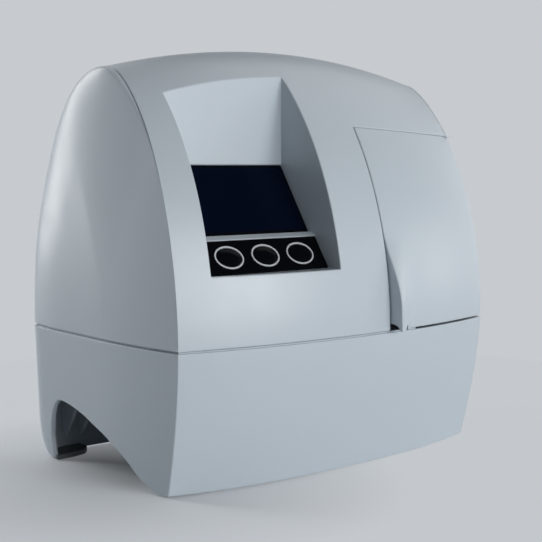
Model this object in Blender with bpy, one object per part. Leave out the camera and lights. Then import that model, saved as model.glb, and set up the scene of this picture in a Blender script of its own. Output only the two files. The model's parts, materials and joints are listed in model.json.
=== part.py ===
"""Benchtop analyzer for glycated hemoglobin, modelled at full size in metres.

X runs to the right as seen from the front, Y runs to the back, Z runs up.
The origin lies on the table, under the middle of the overall box.
"""
import math

import bmesh
import bpy
from mathutils import Matrix, Vector

MM = 0.001

# Overall size and the lines that divide the housing
WIDTH = 205 * MM
DEPTH = 137.3 * MM
HEIGHT = 200 * MM
SEAM_Z = 65.8 * MM
WALL = 2.5 * MM
PARTING = 0.5 * MM
FIT = 0.3 * MM
OVERRUN = 20 * MM

# Form of the housing
FRONT_BOW = 12.1 * MM
CROWN = 11.3 * MM
SIDE_BULGE = 5.8 * MM
RIDGE_DRAW_IN = 2.35 * MM
APEX_SETBACK = 0.9 * MM
CORNER_REACH = 20 * MM
CORNER_DEPTH = 17 * MM
BOW_POWER = 2.4
FRONT_ARCH_OUT_POWER = 1.56
FRONT_ARCH_UP_POWER = 1.95
REAR_ARCH_POWER = 1.94
CORNER_POWER = 3
RIDGE_LINE_SETBACK = 8 * MM
SIDE_ROUND_DEPTH = 62 * MM
SIDE_ROUND_OUT_POWER = 5.6
SIDE_ROUND_BACK_POWER = 2.4
SIDE_SQUARE_OUT_POWER = 8.5
SIDE_SQUARE_BACK_POWER = 3.5
SIDE_SQUARE_START_SHARE = 1.31
SIDE_SQUARE_SPAN_SHARE = 0.39
ROUND_START_SHARE = 0.5
ROUND_SPAN_SHARE = 0.667

# Lower housing
FOOT_HEIGHT = 0.8 * MM
FRONT_UNDERCUT = 11.1 * MM
UNDERCUT_POWER = 1.6
SIDE_DRAFT = 1.85 * MM
REAR_DRAFT = 1.6 * MM
REAR_HEEL_HEIGHT = 20 * MM
REAR_HEEL_DEPTH = 12 * MM
GROOVE_HEIGHT = 0.9 * MM
GROOVE_DEPTH = 1.2 * MM
PAN_Z = 31.7 * MM
PAN_THICKNESS = 2.5 * MM

# Recess with the display and the keys
RECESS_MARGIN = 16.4 * MM
RECESS_WIDTH = 67.9 * MM
RECESS_WALL = 2 * MM
LEDGE_RISE = 30.6 * MM
LEDGE_SLOPE = 0.5 * MM
PANEL_SETBACK = 10.75 * MM
PANEL_RUN = 9.9 * MM
PANEL_RISE = 14.5 * MM
BAR_RUN = 4.5 * MM
BAR_RISE = 1.8 * MM
DISPLAY_RUN = 20.6 * MM
DISPLAY_RISE = 31.3 * MM
GLAZING = 1.5 * MM

# Keys
KEY_WIDTH = 13.4 * MM
KEY_HEIGHT = 9.4 * MM
KEY_PITCH = 20.35 * MM
KEY_TRAVEL = 0.6 * MM
RING_WIDTH = 0.75 * MM

# Door, its finger lip and its hinge
DOOR_WIDTH_SHARE = 0.409
LIP_REACH = 7.3 * MM
LIP_WIDTH = 17 * MM
DOOR_HEIGHT_SHARE = 0.72
DOOR_TOP_FALL = 3.6 * MM
DOOR_WALL = 2.2 * MM
DOOR_WRAP = 26.05 * MM
HINGE_SETBACK = 11 * MM
HINGE_INSET = 7.2 * MM
PIN_RADIUS = 1 * MM
BARREL_RADIUS = 2.2 * MM
ARM_HEIGHT = 5 * MM
ARM_WIDTH = 3 * MM
ARM_REACH = 12.8 * MM
ARM_FORWARD = 18 * MM
ARM_RISE = 9 * MM
ARM_SPACING = 32 * MM
LUG_THICKNESS = 2.5 * MM

# Cartridge bay behind the door
BAY_MARGIN = 3.4 * MM
BAY_HINGE_ROOM = 6.5 * MM
BAY_FLOOR_RISE = 4.2 * MM
BAY_HEIGHT = 78 * MM
BAY_SETBACK = 26.65 * MM
BAY_DEPTH = 42 * MM
BAY_TOP_SETBACK = 10 * MM
BAY_BEND_RISE = 58 * MM
BAY_WALL = 2 * MM
ROTOR_SHARE = 0.455
ROTOR_THICKNESS = 16 * MM
ROTOR_RISE = 36 * MM
SHAFT_RADIUS = 3 * MM
BEARING_RADIUS = 6.5 * MM
BEARING_WIDTH = 4 * MM
GEAR_MODULE = 0.8 * MM
GEAR_TEETH = 48
PINION_TEETH = 12
GEAR_WIDTH = 5 * MM
GEAR_ROOT_SHARE = 1.25
GEAR_TIP_SHARE = 0.92
RUNNING = 0.06 * MM

# Board and rear connectors
STANDOFF = 6 * MM
BOARD_THICKNESS = 1.6 * MM

FRONT_HALF = WIDTH / 2 - SIDE_BULGE
DOOR_WIDTH = 2 * FRONT_HALF * DOOR_WIDTH_SHARE
DOOR_HEIGHT = (HEIGHT - SEAM_Z) * DOOR_HEIGHT_SHARE
DOOR_LEFT = FRONT_HALF - DOOR_WIDTH
LIP_OVERHANG = LIP_REACH - FRONT_BOW * ((DOOR_LEFT + PARTING) / FRONT_HALF) ** BOW_POWER
SIDE_PEAK_Y = LIP_OVERHANG / 2
REAR_Y = SIDE_PEAK_Y + DEPTH / 2
BOW_Y = SIDE_PEAK_Y - DEPTH / 2
FRONT_Y = BOW_Y + FRONT_BOW
APEX_Y = SIDE_PEAK_Y + APEX_SETBACK
RIDGE_LINE_Y = APEX_Y + RIDGE_LINE_SETBACK
RIDGE_HALF = FRONT_HALF - RIDGE_DRAW_IN
BACK_HALF = WIDTH / 2 - CORNER_REACH
QUARTER = math.pi / 2

PAN_TOP_Z = PAN_Z + PAN_THICKNESS
RECESS_LEFT = -FRONT_HALF + RECESS_MARGIN
RECESS_RIGHT = RECESS_LEFT + RECESS_WIDTH
RECESS_MID = (RECESS_LEFT + RECESS_RIGHT) / 2
LEDGE_Z = SEAM_Z + LEDGE_RISE
PANEL_FOOT_Y = BOW_Y + PANEL_SETBACK
DOOR_TOP_Z = SEAM_Z + DOOR_HEIGHT
DOOR_EDGE_Y = FRONT_Y + DOOR_WRAP
HINGE_X = WIDTH / 2 - HINGE_INSET
HINGE_Y = DOOR_EDGE_Y + HINGE_SETBACK
ARM_LOWS = (SEAM_Z + ARM_RISE, SEAM_Z + ARM_RISE + ARM_SPACING)
BAY_LEFT = DOOR_LEFT + BAY_MARGIN
BAY_RIGHT = HINGE_X - ARM_REACH - BAY_HINGE_ROOM
BAY_WIDTH = BAY_RIGHT - BAY_LEFT
BAY_FRONT_Y = BOW_Y + BAY_SETBACK
BAY_REAR_Y = BAY_FRONT_Y + BAY_DEPTH
BAY_FLOOR_Z = SEAM_Z + BAY_FLOOR_RISE
BAY_BEND_Z = SEAM_Z + BAY_BEND_RISE
ROTOR_RADIUS = BAY_WIDTH * ROTOR_SHARE
ROTOR_X = (BAY_LEFT + BAY_RIGHT) / 2
ROTOR_Z = BAY_FLOOR_Z + ROTOR_RISE
GEAR_SPACING = GEAR_MODULE * (GEAR_TEETH + PINION_TEETH) / 2


# Scene, materials and small mesh tools

def clear_scene():
    for item in list(bpy.data.objects):
        bpy.data.objects.remove(item, do_unlink=True)


def material(name, colour, roughness, metallic=0.0, alpha=1.0):
    made = bpy.data.materials.get(name)
    if made is None:
        made = bpy.data.materials.new(name)
        made.use_nodes = True
        shader = made.node_tree.nodes["Principled BSDF"]
        shader.inputs["Base Color"].default_value = (*colour, 1.0)
        shader.inputs["Roughness"].default_value = roughness
        shader.inputs["Metallic"].default_value = metallic
        shader.inputs["Alpha"].default_value = alpha
    return made


def housing_plastic():
    return material("housing_plastic", (0.50, 0.57, 0.62), 0.42)


def black_gloss():
    return material("black_gloss", (0.004, 0.005, 0.008), 0.12)


def dark_plastic():
    return material("dark_plastic", (0.03, 0.03, 0.035), 0.5)


def chassis_plastic():
    return material("chassis_plastic", (0.09, 0.1, 0.11), 0.6)


def steel():
    return material("steel", (0.6, 0.6, 0.6), 0.3, 1.0)


def aluminium():
    return material("aluminium", (0.75, 0.76, 0.78), 0.35, 1.0)


def circuit_board():
    return material("circuit_board", (0.02, 0.18, 0.07), 0.45)


def ring_print():
    return material("ring_print", (0.72, 0.74, 0.76), 0.4)


def rubber():
    return material("rubber", (0.03, 0.03, 0.03), 0.85)


def acetal():
    return material("acetal", (0.82, 0.82, 0.8), 0.4)


def place_mesh(name, bm, finish, smooth_angle=math.radians(35)):
    bmesh.ops.recalc_face_normals(bm, faces=bm.faces)
    mesh = bpy.data.meshes.new(name)
    bm.to_mesh(mesh)
    bm.free()
    mesh.materials.append(finish)
    mesh.shade_smooth()
    mesh.set_sharp_from_angle(angle=smooth_angle)
    made = bpy.data.objects.new(name, mesh)
    bpy.context.scene.collection.objects.link(made)
    return made


def boolean(target, name, bm, operation):
    """Join, cut or clip the target with a guide body that isn't built itself."""
    guide = place_mesh(name, bm, housing_plastic())
    guide.hide_render = True
    guide.display_type = "WIRE"
    step = target.modifiers.new(name, "BOOLEAN")
    step.operation = operation
    step.object = guide
    return guide


def add_rings(bm, rings, wrap=False):
    """Skin a stack of equal closed rings. Wrapped, the last ring meets the first."""
    rows = [[bm.verts.new(point) for point in ring] for ring in rings]
    count = len(rows[0])
    pairs = list(zip(rows, rows[1:]))
    if wrap:
        pairs.append((rows[-1], rows[0]))
    for low, high in pairs:
        for i in range(count):
            j = (i + 1) % count
            bm.faces.new((low[i], low[j], high[j], high[i]))
    if not wrap:
        bm.faces.new(rows[0][::-1])
        bm.faces.new(rows[-1])
    return bm


def add_prism(bm, outline, axis, low, high):
    """Extrude an outline given in the two other axes, in X, Y, Z order, along axis."""
    def lift(point, level):
        coordinates = list(point)
        coordinates.insert("XYZ".index(axis), level)
        return Vector(coordinates)
    return add_rings(bm, [[lift(p, low) for p in outline], [lift(p, high) for p in outline]])


def add_block(bm, low, high):
    outline = [(low[0], low[1]), (high[0], low[1]), (high[0], high[1]), (low[0], high[1])]
    return add_prism(bm, outline, "Z", low[2], high[2])


def block(low, high):
    return add_block(bmesh.new(), low, high)


def ellipse(centre, half_width, half_height, segments):
    turns = [2 * math.pi * i / segments for i in range(segments)]
    return [(centre[0] + half_width * math.cos(a), centre[1] + half_height * math.sin(a))
            for a in turns]


def rounded(centre, size, radius, steps=4):
    """Rectangle with round corners."""
    half_width, half_height = size[0] / 2 - radius, size[1] / 2 - radius
    corners = ((1, 1, 0), (-1, 1, 1), (-1, -1, 2), (1, -1, 3))
    points = []
    for side, end, quarter in corners:
        for i in range(steps + 1):
            a = (quarter + i / steps) * QUARTER
            points.append((centre[0] + side * half_width + radius * math.cos(a),
                           centre[1] + end * half_height + radius * math.sin(a)))
    return points


def add_turned(bm, profile, centre, axis, segments=24, bore=0.0):
    """Turn a profile of (radius, place along the axis) round an axis through centre."""
    across = {"X": (1, 2), "Y": (2, 0), "Z": (0, 1)}[axis]
    along = "XYZ".index(axis)
    stations = list(profile)
    if bore:
        stations += [(bore, profile[-1][1]), (bore, profile[0][1])]
    rings = []
    for radius, place in stations:
        ring = []
        for i in range(segments):
            a = 2 * math.pi * i / segments
            point = list(centre)
            point[across[0]] += radius * math.cos(a)
            point[across[1]] += radius * math.sin(a)
            point[along] += place
            ring.append(Vector(point))
        rings.append(ring)
    return add_rings(bm, rings, wrap=bool(bore))


def add_sheet(bm, outer, inner):
    """Close two equal grids of points into one thick sheet."""
    tops = [[bm.verts.new(p) for p in row] for row in outer]
    backs = [[bm.verts.new(p) for p in row] for row in inner]
    last_row, last_column = len(tops) - 1, len(tops[0]) - 1
    for i in range(last_row):
        for j in range(last_column):
            bm.faces.new((tops[i][j], tops[i][j + 1], tops[i + 1][j + 1], tops[i + 1][j]))
            bm.faces.new((backs[i][j], backs[i + 1][j], backs[i + 1][j + 1], backs[i][j + 1]))
    rim = [(0, j) for j in range(last_column)]
    rim += [(i, last_column) for i in range(last_row)]
    rim += [(last_row, j) for j in range(last_column, 0, -1)]
    rim += [(i, 0) for i in range(last_row, 0, -1)]
    for (i, j), (k, m) in zip(rim, rim[1:] + rim[:1]):
        bm.faces.new((tops[k][m], tops[i][j], backs[i][j], backs[k][m]))
    return bm


def spread(low, high, count):
    return [low + (high - low) * i / (count - 1) for i in range(count)]


def smooth_step(value):
    value = min(max(value, 0.0), 1.0)
    return value * value * (3 - 2 * value)


# Surfaces of the housing

def quarter_shares(angle, out_power, up_power):
    """Shares of the two half axes of a superellipse at an angle from 0 to a quarter turn."""
    out = max(math.cos(angle), 0.0) ** (2 / out_power)
    return out, math.sin(angle) ** (2 / up_power)


def front_line(x):
    """Y of the bowed front at the seam."""
    return FRONT_Y - FRONT_BOW * (1 - min(abs(x) / FRONT_HALF, 1) ** BOW_POWER)


def ridge_line(x):
    """Height of the crowned top."""
    return HEIGHT - CROWN * (x / RIDGE_HALF) ** 2


def arch(x, turn, inset=0.0):
    """Point over the front, top and back at x. Turn runs from the front seam to the rear seam."""
    rise = ridge_line(x) - SEAM_Z - inset
    if turn <= QUARTER:
        out, up = quarter_shares(turn, FRONT_ARCH_OUT_POWER, FRONT_ARCH_UP_POWER)
        return Vector((x, APEX_Y - (APEX_Y - front_line(x) - inset) * out, SEAM_Z + rise * up))
    out, up = quarter_shares(math.pi - turn, REAR_ARCH_POWER, REAR_ARCH_POWER)
    return Vector((x, APEX_Y + (REAR_Y - APEX_Y - inset) * out, SEAM_Z + rise * up))


def turn_at_y(x, y, inset=0.0):
    """Turn at which the arch reaches a given Y."""
    if y > APEX_Y:
        out = (y - APEX_Y) / (REAR_Y - APEX_Y - inset)
        return math.pi - math.acos(min(max(out, 0.0), 1.0) ** (REAR_ARCH_POWER / 2))
    out = (APEX_Y - y) / (APEX_Y - front_line(x) - inset)
    return math.acos(min(max(out, 0.0), 1.0) ** (FRONT_ARCH_OUT_POWER / 2))


def front_y(x, z):
    """Y of the front surface at x and z."""
    share = min(max((z - SEAM_Z) / (ridge_line(x) - SEAM_Z), 0.0), 1.0)
    out = (1 - share ** FRONT_ARCH_UP_POWER) ** (1 / FRONT_ARCH_OUT_POWER)
    return APEX_Y - (APEX_Y - front_line(x)) * out


def edge_half(turn):
    """Half width of the middle cover, where it meets the side covers."""
    if turn <= QUARTER:
        return FRONT_HALF - RIDGE_DRAW_IN * math.sin(turn) ** 2
    return RIDGE_HALF - (RIDGE_HALF - BACK_HALF) * math.cos(turn) ** 2


def side_reach(turn, depth):
    """How far the side cover stands out at a depth inwards from its arched edge."""
    edge = arch(edge_half(turn), turn)
    across, up = SIDE_PEAK_Y - edge.y, edge.z - SEAM_Z
    full = WIDTH / 2 - edge_half(turn)
    bulged = 1 - (1 - depth / math.hypot(across, up)) ** 2
    angle = math.atan2(up, across) / QUARTER
    square = smooth_step((angle - SIDE_SQUARE_START_SHARE) / SIDE_SQUARE_SPAN_SHARE)
    out_power = SIDE_ROUND_OUT_POWER * (1 - square) + SIDE_SQUARE_OUT_POWER * square
    back_power = SIDE_ROUND_BACK_POWER * (1 - square) + SIDE_SQUARE_BACK_POWER * square
    inwards = 1 - min(depth / SIDE_ROUND_DEPTH, 1.0)
    turned = (1 - inwards ** back_power) ** (1 / out_power)
    roundness = smooth_step((angle - ROUND_START_SHARE) / ROUND_SPAN_SHARE)
    return full * ((1 - roundness) * bulged + roundness * turned)


def side_point(turn, share, inset=0.0):
    """Point on the right side cover, from its arched edge at share 0 to its middle at share 1."""
    edge = arch(edge_half(turn), turn, inset)
    middle = Vector((0, SIDE_PEAK_Y, SEAM_Z))
    span = Vector((0, edge.y, edge.z)) - middle
    outer_length = (arch(edge_half(turn), turn).yz - middle.yz).length
    depth = outer_length - span.length * (1 - share)
    place = middle + span * (1 - share)
    out = edge_half(turn) + side_reach(turn, depth)
    return Vector((out, place.y, place.z))


def side_x(y, z):
    """X of the right side cover's outer surface at y and z."""
    wanted = math.atan2(z - SEAM_Z, SIDE_PEAK_Y - y)
    low, high = 0.0, math.pi
    for _ in range(40):
        turn = (low + high) / 2
        edge = arch(edge_half(turn), turn)
        if math.atan2(edge.z - SEAM_Z, SIDE_PEAK_Y - edge.y) < wanted:
            low = turn
        else:
            high = turn
    length = math.hypot(edge.y - SIDE_PEAK_Y, edge.z - SEAM_Z)
    depth = length - math.hypot(y - SIDE_PEAK_Y, z - SEAM_Z)
    return edge_half(turn) + side_reach(turn, max(depth, 0.0))


def base_rear(z):
    """Y of the lower housing's back at a height."""
    share = max(SEAM_Z - z, 0.0) / SEAM_Z
    heel = min(max(REAR_HEEL_HEIGHT - z, 0.0) / REAR_HEEL_HEIGHT, 1.0)
    return REAR_Y - REAR_DRAFT * share - REAR_HEEL_DEPTH * (1 - math.sqrt(1 - heel ** 2))


def plan(z, inset=0.0, front_count=13, side_count=5, corner_count=7):
    """Outline of the lower housing at a height, counter-clockwise from its front left corner."""
    share = max(SEAM_Z - z, 0.0) / SEAM_Z
    draft = SIDE_DRAFT * share + inset
    front = FRONT_Y + FRONT_UNDERCUT * share ** UNDERCUT_POWER + inset
    rear = base_rear(z) - inset
    half, wide = FRONT_HALF - draft, WIDTH / 2 - draft
    points = [(half * s, front - FRONT_BOW * (1 - abs(s) ** BOW_POWER))
              for s in spread(-1, 1, front_count)]
    for s in spread(0, 1, side_count)[1:]:
        points.append((half + (wide - half) * (1 - (1 - s) ** 2),
                       front + (SIDE_PEAK_Y - front) * s))
    corner = []
    reach = CORNER_REACH - draft
    for a in spread(0, QUARTER, corner_count):
        out, up = quarter_shares(a, CORNER_POWER, CORNER_POWER)
        corner.append((BACK_HALF + reach * out, rear - CORNER_DEPTH * (1 - up)))
    points += corner
    points += [(-x, y) for x, y in reversed(corner)]
    points += [(-x, y) for x, y in reversed(points[front_count:front_count + side_count - 1])]
    return points


def ring_at(z, inset=0.0):
    return [Vector((x, y, z)) for x, y in plan(z, inset)]


# Lower housing

def build_base_shell():
    rim_z = SEAM_Z - GROOVE_HEIGHT
    ledge_z = SEAM_Z - FIT
    levels = [FOOT_HEIGHT + (rim_z - FOOT_HEIGHT) * s
              for s in (0, 0.04, 0.1, 0.2, 0.42, 0.7, 1)]
    rings = [ring_at(z) for z in levels]
    rings += [ring_at(rim_z, GROOVE_DEPTH), ring_at(ledge_z, GROOVE_DEPTH), ring_at(ledge_z, WALL)]
    rings += [ring_at(z, WALL) for z in reversed(levels)]
    shell = place_mesh("base_shell", add_rings(bmesh.new(), rings, wrap=True), housing_plastic())
    add_corner_columns(shell)
    add_gussets(shell)
    cut_hand_holds(shell)
    cut_connector_openings(shell)
    return shell


COLUMN_WIDTH = 13 * MM
COLUMN_DEPTH = 11 * MM
COLUMN_INSET = 4 * MM
SCREW_RADIUS = 1.5 * MM
SCREW_HEAD_RADIUS = 3 * MM
SCREW_HEAD_HEIGHT = 2.2 * MM
SCREW_RECESS = 4 * MM
SCREW_CLEARANCE = 0.15 * MM
SCREW_GRIP = 8 * MM
PAD_HEIGHT = 1.6 * MM
REAR_BLOCK_HEIGHT = 3 * MM
REAR_BLOCK_DEPTH = 7 * MM


def column_places():
    """Middles of the two front columns."""
    bottom_front = FRONT_Y + FRONT_UNDERCUT
    x = FRONT_HALF - SIDE_DRAFT - WALL - COLUMN_WIDTH / 2 + COLUMN_INSET / 2
    y = bottom_front + WALL + COLUMN_DEPTH / 2 - COLUMN_INSET / 2
    return [(-x, y), (x, y)]


def rear_block_places():
    """Middles of the two low blocks inside the rear legs."""
    x = BACK_HALF + CORNER_REACH / 2 - 2 * WALL
    y = REAR_Y - REAR_HEEL_DEPTH - CORNER_DEPTH / 2 + WALL + FIT
    return [(-x, y), (x, y)]


def add_corner_columns(shell):
    for side, (x, y) in zip(("left", "right"), column_places()):
        body = rounded((x, y), (COLUMN_WIDTH, COLUMN_DEPTH), WALL)
        bm = add_prism(bmesh.new(), body, "Z", FOOT_HEIGHT + PAD_HEIGHT / 2, PAN_Z - FIT)
        guide = boolean(shell, "column_" + side, bm, "UNION")
        clip_to_outline(guide, "column_clip_" + side)
    for side, (x, y) in zip(("left", "right"), rear_block_places()):
        outwards = math.copysign(WALL, x)
        size = (COLUMN_WIDTH + WALL, REAR_BLOCK_DEPTH + 2 * WALL)
        body = rounded((x + outwards, y + WALL / 2), size, WALL)
        low = FOOT_HEIGHT + PAD_HEIGHT / 2
        bm = add_prism(bmesh.new(), body, "Z", low, low + REAR_BLOCK_HEIGHT)
        guide = boolean(shell, "rear_block_" + side, bm, "UNION")
        clip_to_outline(guide, "rear_block_clip_" + side)


def clip_to_outline(guide, name):
    """Keep a guide body inside the housing's outer skin."""
    levels = spread(0, SEAM_Z, 9)
    rings = [[Vector((x, y, level)) for x, y in plan(level, FIT)] for level in levels]
    boolean(guide, name, add_rings(bmesh.new(), rings), "INTERSECT")


GUSSET_THICKNESS = 2 * MM
GUSSET_DEPTH = 20 * MM
GUSSET_TIP_Z = 5 * MM
GUSSET_EDGE = 1.2 * MM
GUSSET_PITCH = 9 * MM
GUSSET_COUNT = 2


def add_gussets(shell):
    """Pointed ribs on the inside of the rear wall, which carry the rear of the floor pan."""
    top = PAN_Z - FIT
    front = base_rear(top) - WALL - GUSSET_DEPTH
    outline = [(base_rear(z) - WALL / 2, z) for z in spread(GUSSET_TIP_Z, top, 8)]
    outline += [(front, top), (front, top - GUSSET_EDGE)]
    outer = BACK_HALF + GUSSET_THICKNESS
    bm = bmesh.new()
    for side in (-1, 1):
        for i in range(GUSSET_COUNT):
            x = side * (outer - i * GUSSET_PITCH)
            add_prism(bm, outline, "X", x - GUSSET_THICKNESS / 2, x + GUSSET_THICKNESS / 2)
    boolean(shell, "gussets", bm, "UNION")


HAND_HOLD_HEIGHT = 31.2 * MM
HAND_HOLD_FRONT_INSET = 16 * MM
HAND_HOLD_REAR_INSET = 22.2 * MM
HAND_HOLD_CORNER = 17 * MM
HAND_HOLD_CORNER_LENGTH = 10.5 * MM
HAND_HOLD_FRONT_Y = FRONT_Y + HAND_HOLD_FRONT_INSET
HAND_HOLD_REAR_Y = REAR_Y - HAND_HOLD_REAR_INSET
HAND_HOLD_TOP_Y = HAND_HOLD_REAR_Y - HAND_HOLD_CORNER_LENGTH


def hand_hold_outline():
    """Side opening: a rising curve from the front foot, and a round corner into the rear leg."""
    rise_shares = (0, 0.06, 0.15, 0.24, 0.31, 0.4, 0.5, 0.61, 0.73, 0.87, 1)
    up_shares = (0, 0.06, 0.18, 0.35, 0.465, 0.577, 0.69, 0.783, 0.885, 0.965, 1)
    span = HAND_HOLD_TOP_Y - HAND_HOLD_FRONT_Y
    points = [(HAND_HOLD_FRONT_Y, -OVERRUN)]
    points += [(HAND_HOLD_FRONT_Y + span * s, HAND_HOLD_HEIGHT * u)
               for s, u in zip(rise_shares, up_shares)]
    depth = HAND_HOLD_REAR_Y - HAND_HOLD_TOP_Y
    points += [(HAND_HOLD_TOP_Y + depth * math.sin(a),
                HAND_HOLD_HEIGHT - HAND_HOLD_CORNER * (1 - math.cos(a)))
               for a in spread(0, QUARTER, 7)[1:]]
    points.append((HAND_HOLD_REAR_Y - WALL, FOOT_HEIGHT))
    points.append((HAND_HOLD_REAR_Y - WALL, -OVERRUN))
    return points


def cut_hand_holds(shell):
    outline = hand_hold_outline()
    for name, side in (("hand_hold_left", -1), ("hand_hold_right", 1)):
        ends = sorted((side * BACK_HALF, side * (WIDTH / 2 + OVERRUN)))
        boolean(shell, name, add_prism(bmesh.new(), outline, "X", *ends), "DIFFERENCE")


CONNECTOR_Z = PAN_TOP_Z + STANDOFF + BOARD_THICKNESS + FIT
JACK_WIDTH = 12 * MM
JACK_HEIGHT = 11 * MM
SERIAL_WIDTH = 31 * MM
SERIAL_HEIGHT = 12.5 * MM
SCANNER_WIDTH = 14 * MM
SCANNER_HEIGHT = 13 * MM
JACK_SIZE = (JACK_WIDTH, JACK_HEIGHT)
SERIAL_SIZE = (SERIAL_WIDTH, SERIAL_HEIGHT)
SCANNER_SIZE = (SCANNER_WIDTH, SCANNER_HEIGHT)
CONNECTOR_PITCH = 34 * MM
CONNECTOR_ROUND = 1.5 * MM
JACK_X = -62 * MM
SERIAL_X = JACK_X + CONNECTOR_PITCH
SCANNER_X = SERIAL_X + CONNECTOR_PITCH


def connectors():
    return (("jack", JACK_X, JACK_SIZE), ("serial", SERIAL_X, SERIAL_SIZE),
            ("scanner", SCANNER_X, SCANNER_SIZE))


def cut_connector_openings(shell):
    for name, x, (width, height) in connectors():
        centre = (x, CONNECTOR_Z + height / 2)
        hole = rounded(centre, (width + 2 * FIT, height + 2 * FIT), CONNECTOR_ROUND)
        bm = add_prism(bmesh.new(), hole, "Y", REAR_Y - CORNER_DEPTH / 2, REAR_Y + OVERRUN)
        boolean(shell, "opening_" + name, bm, "DIFFERENCE")


def build_base_pan():
    ring = plan(PAN_Z, WALL + FIT)
    pan = add_prism(bmesh.new(), ring, "Z", PAN_Z, PAN_TOP_Z)
    pan = place_mesh("base_pan", pan, chassis_plastic())
    for name, (x, y) in board_corners():
        post = add_prism(bmesh.new(), ellipse((x, y), POST_RADIUS, POST_RADIUS, 12), "Z",
                         PAN_TOP_Z - PAN_THICKNESS / 2, PAN_TOP_Z + STANDOFF - FIT)
        boolean(pan, "post_" + name, post, "UNION")
    for side, (x, y) in zip(("left", "right"), column_places()):
        hole = ellipse((x, y), SCREW_RADIUS + SCREW_CLEARANCE, SCREW_RADIUS + SCREW_CLEARANCE, 16)
        bm = add_prism(bmesh.new(), hole, "Z", PAN_Z - OVERRUN, PAN_TOP_Z + OVERRUN)
        boolean(pan, "pan_hole_" + side, bm, "DIFFERENCE")
    return pan


def bore_columns(shell):
    """Stepped bores for the two front screws."""
    for side, (x, y) in zip(("left", "right"), column_places()):
        low = FOOT_HEIGHT - OVERRUN
        shoulder = FOOT_HEIGHT + PAD_HEIGHT / 2 + SCREW_RECESS
        wide, narrow = SCREW_HEAD_RADIUS + FIT, SCREW_RADIUS + SCREW_CLEARANCE
        profile = [(wide, low), (wide, shoulder), (narrow, shoulder), (narrow, PAN_Z + OVERRUN)]
        bm = add_turned(bmesh.new(), profile, (x, y, 0), "Z", 16)
        boolean(shell, "bore_" + side, bm, "DIFFERENCE")


def build_case_screws():
    shoulder = FOOT_HEIGHT + PAD_HEIGHT / 2 + SCREW_RECESS
    head = shoulder - FIT / 2
    profile = [(SCREW_HEAD_RADIUS, head - SCREW_HEAD_HEIGHT), (SCREW_HEAD_RADIUS, head),
               (SCREW_RADIUS, head), (SCREW_RADIUS, PAN_TOP_Z + SCREW_GRIP / 4)]
    for side, (x, y) in zip(("left", "right"), column_places()):
        place_mesh("case_screw_" + side, add_turned(bmesh.new(), profile, (x, y, 0), "Z", 16),
                   steel())


FOOT_RADIUS = 4.6 * MM
REAR_FOOT_RADIUS = 4.2 * MM


def build_rubber_feet():
    """Ring pads under the front columns, and round pads under the blocks in the rear legs."""
    top = FOOT_HEIGHT + PAD_HEIGHT / 2 - FIT
    profile = [(FOOT_RADIUS, 0), (FOOT_RADIUS, top)]
    rear_profile = [(REAR_FOOT_RADIUS, 0), (REAR_FOOT_RADIUS, top)]
    for side, (x, y) in zip(("left", "right"), column_places()):
        place_mesh("rubber_foot_front_" + side,
                   add_turned(bmesh.new(), profile, (x, y, 0), "Z", 20, bore=SCREW_HEAD_RADIUS),
                   rubber())
    for side, (x, y) in zip(("left", "right"), rear_block_places()):
        place_mesh("rubber_foot_rear_" + side,
                   add_turned(bmesh.new(), rear_profile, (x, y, 0), "Z", 20), rubber())


# Upper covers

def strip_grid(turns_outer, turns_inner, shares, inset):
    """Two grids over the arch between the side covers: outer skin and inner skin."""
    outer, inner = [], []
    for outer_turns, inner_turns in zip(turns_outer, turns_inner):
        outer_row, inner_row = [], []
        for s, turn, turn_in in zip(shares, outer_turns, inner_turns):
            reach = (edge_half(turn) - PARTING / 2) * s
            outer_row.append(arch(reach, turn))
            inner_row.append(arch((edge_half(turn_in) - PARTING / 2) * s, turn_in, inset))
        outer.append(outer_row)
        inner.append(inner_row)
    return outer, inner


def cover_turns(shares, low, high, steps):
    """Turns from low to high for each column, where low and high may vary with the column."""
    return [[low(s) + (high(s) - low(s)) * t for s in shares] for t in steps]


def split_turn(y, inset=0.0):
    def at(share):
        return turn_at_y(RIDGE_HALF * share, y, inset)
    return at


def build_front_cover():
    shares = spread(-1, 1, 17)
    steps = spread(0, 1, 13)
    limit_y = RIDGE_LINE_Y - PARTING / 2
    outer_turns = cover_turns(shares, lambda s: 0.0, split_turn(limit_y), steps)
    inner_turns = cover_turns(shares, lambda s: 0.0, split_turn(limit_y, WALL), steps)
    outer, inner = strip_grid(outer_turns, inner_turns, shares, WALL)
    cover = place_mesh("front_cover", add_sheet(bmesh.new(), outer, inner), housing_plastic())
    add_recess(cover)
    opening = door_opening_outline(PARTING)
    bm = add_prism(bmesh.new(), opening, "Y", -DEPTH, APEX_Y)
    boolean(cover, "door_opening", bm, "DIFFERENCE")
    return cover


def door_opening_outline(gap):
    """Outline in X and Z of the door with a gap round it."""
    fall = DOOR_TOP_FALL / (DOOR_WIDTH + SIDE_BULGE)
    left, right = DOOR_LEFT, WIDTH / 2 + OVERRUN
    return [(left, SEAM_Z - OVERRUN), (right, SEAM_Z - OVERRUN),
            (right, DOOR_TOP_Z - fall * (right - left) + gap), (left, DOOR_TOP_Z + gap)]


def door_top(x):
    return DOOR_TOP_Z - DOOR_TOP_FALL / (DOOR_WIDTH + SIDE_BULGE) * (x - DOOR_LEFT)


# Recess: places in Y and Z along its back, from the ledge up

class Slope:
    """A straight face in the recess, from its foot to its head, with its outward normal."""

    def __init__(self, foot, run, rise):
        self.foot = Vector(foot)
        self.head = self.foot + Vector((run, rise))
        self.length = math.hypot(run, rise)
        self.along = Vector((run, rise)) / self.length
        self.out = Vector((-self.along.y, self.along.x))
        self.lean = math.atan2(run, rise)

    def at(self, share, out=0.0):
        return self.foot + self.along * (self.length * share) + self.out * out


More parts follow.
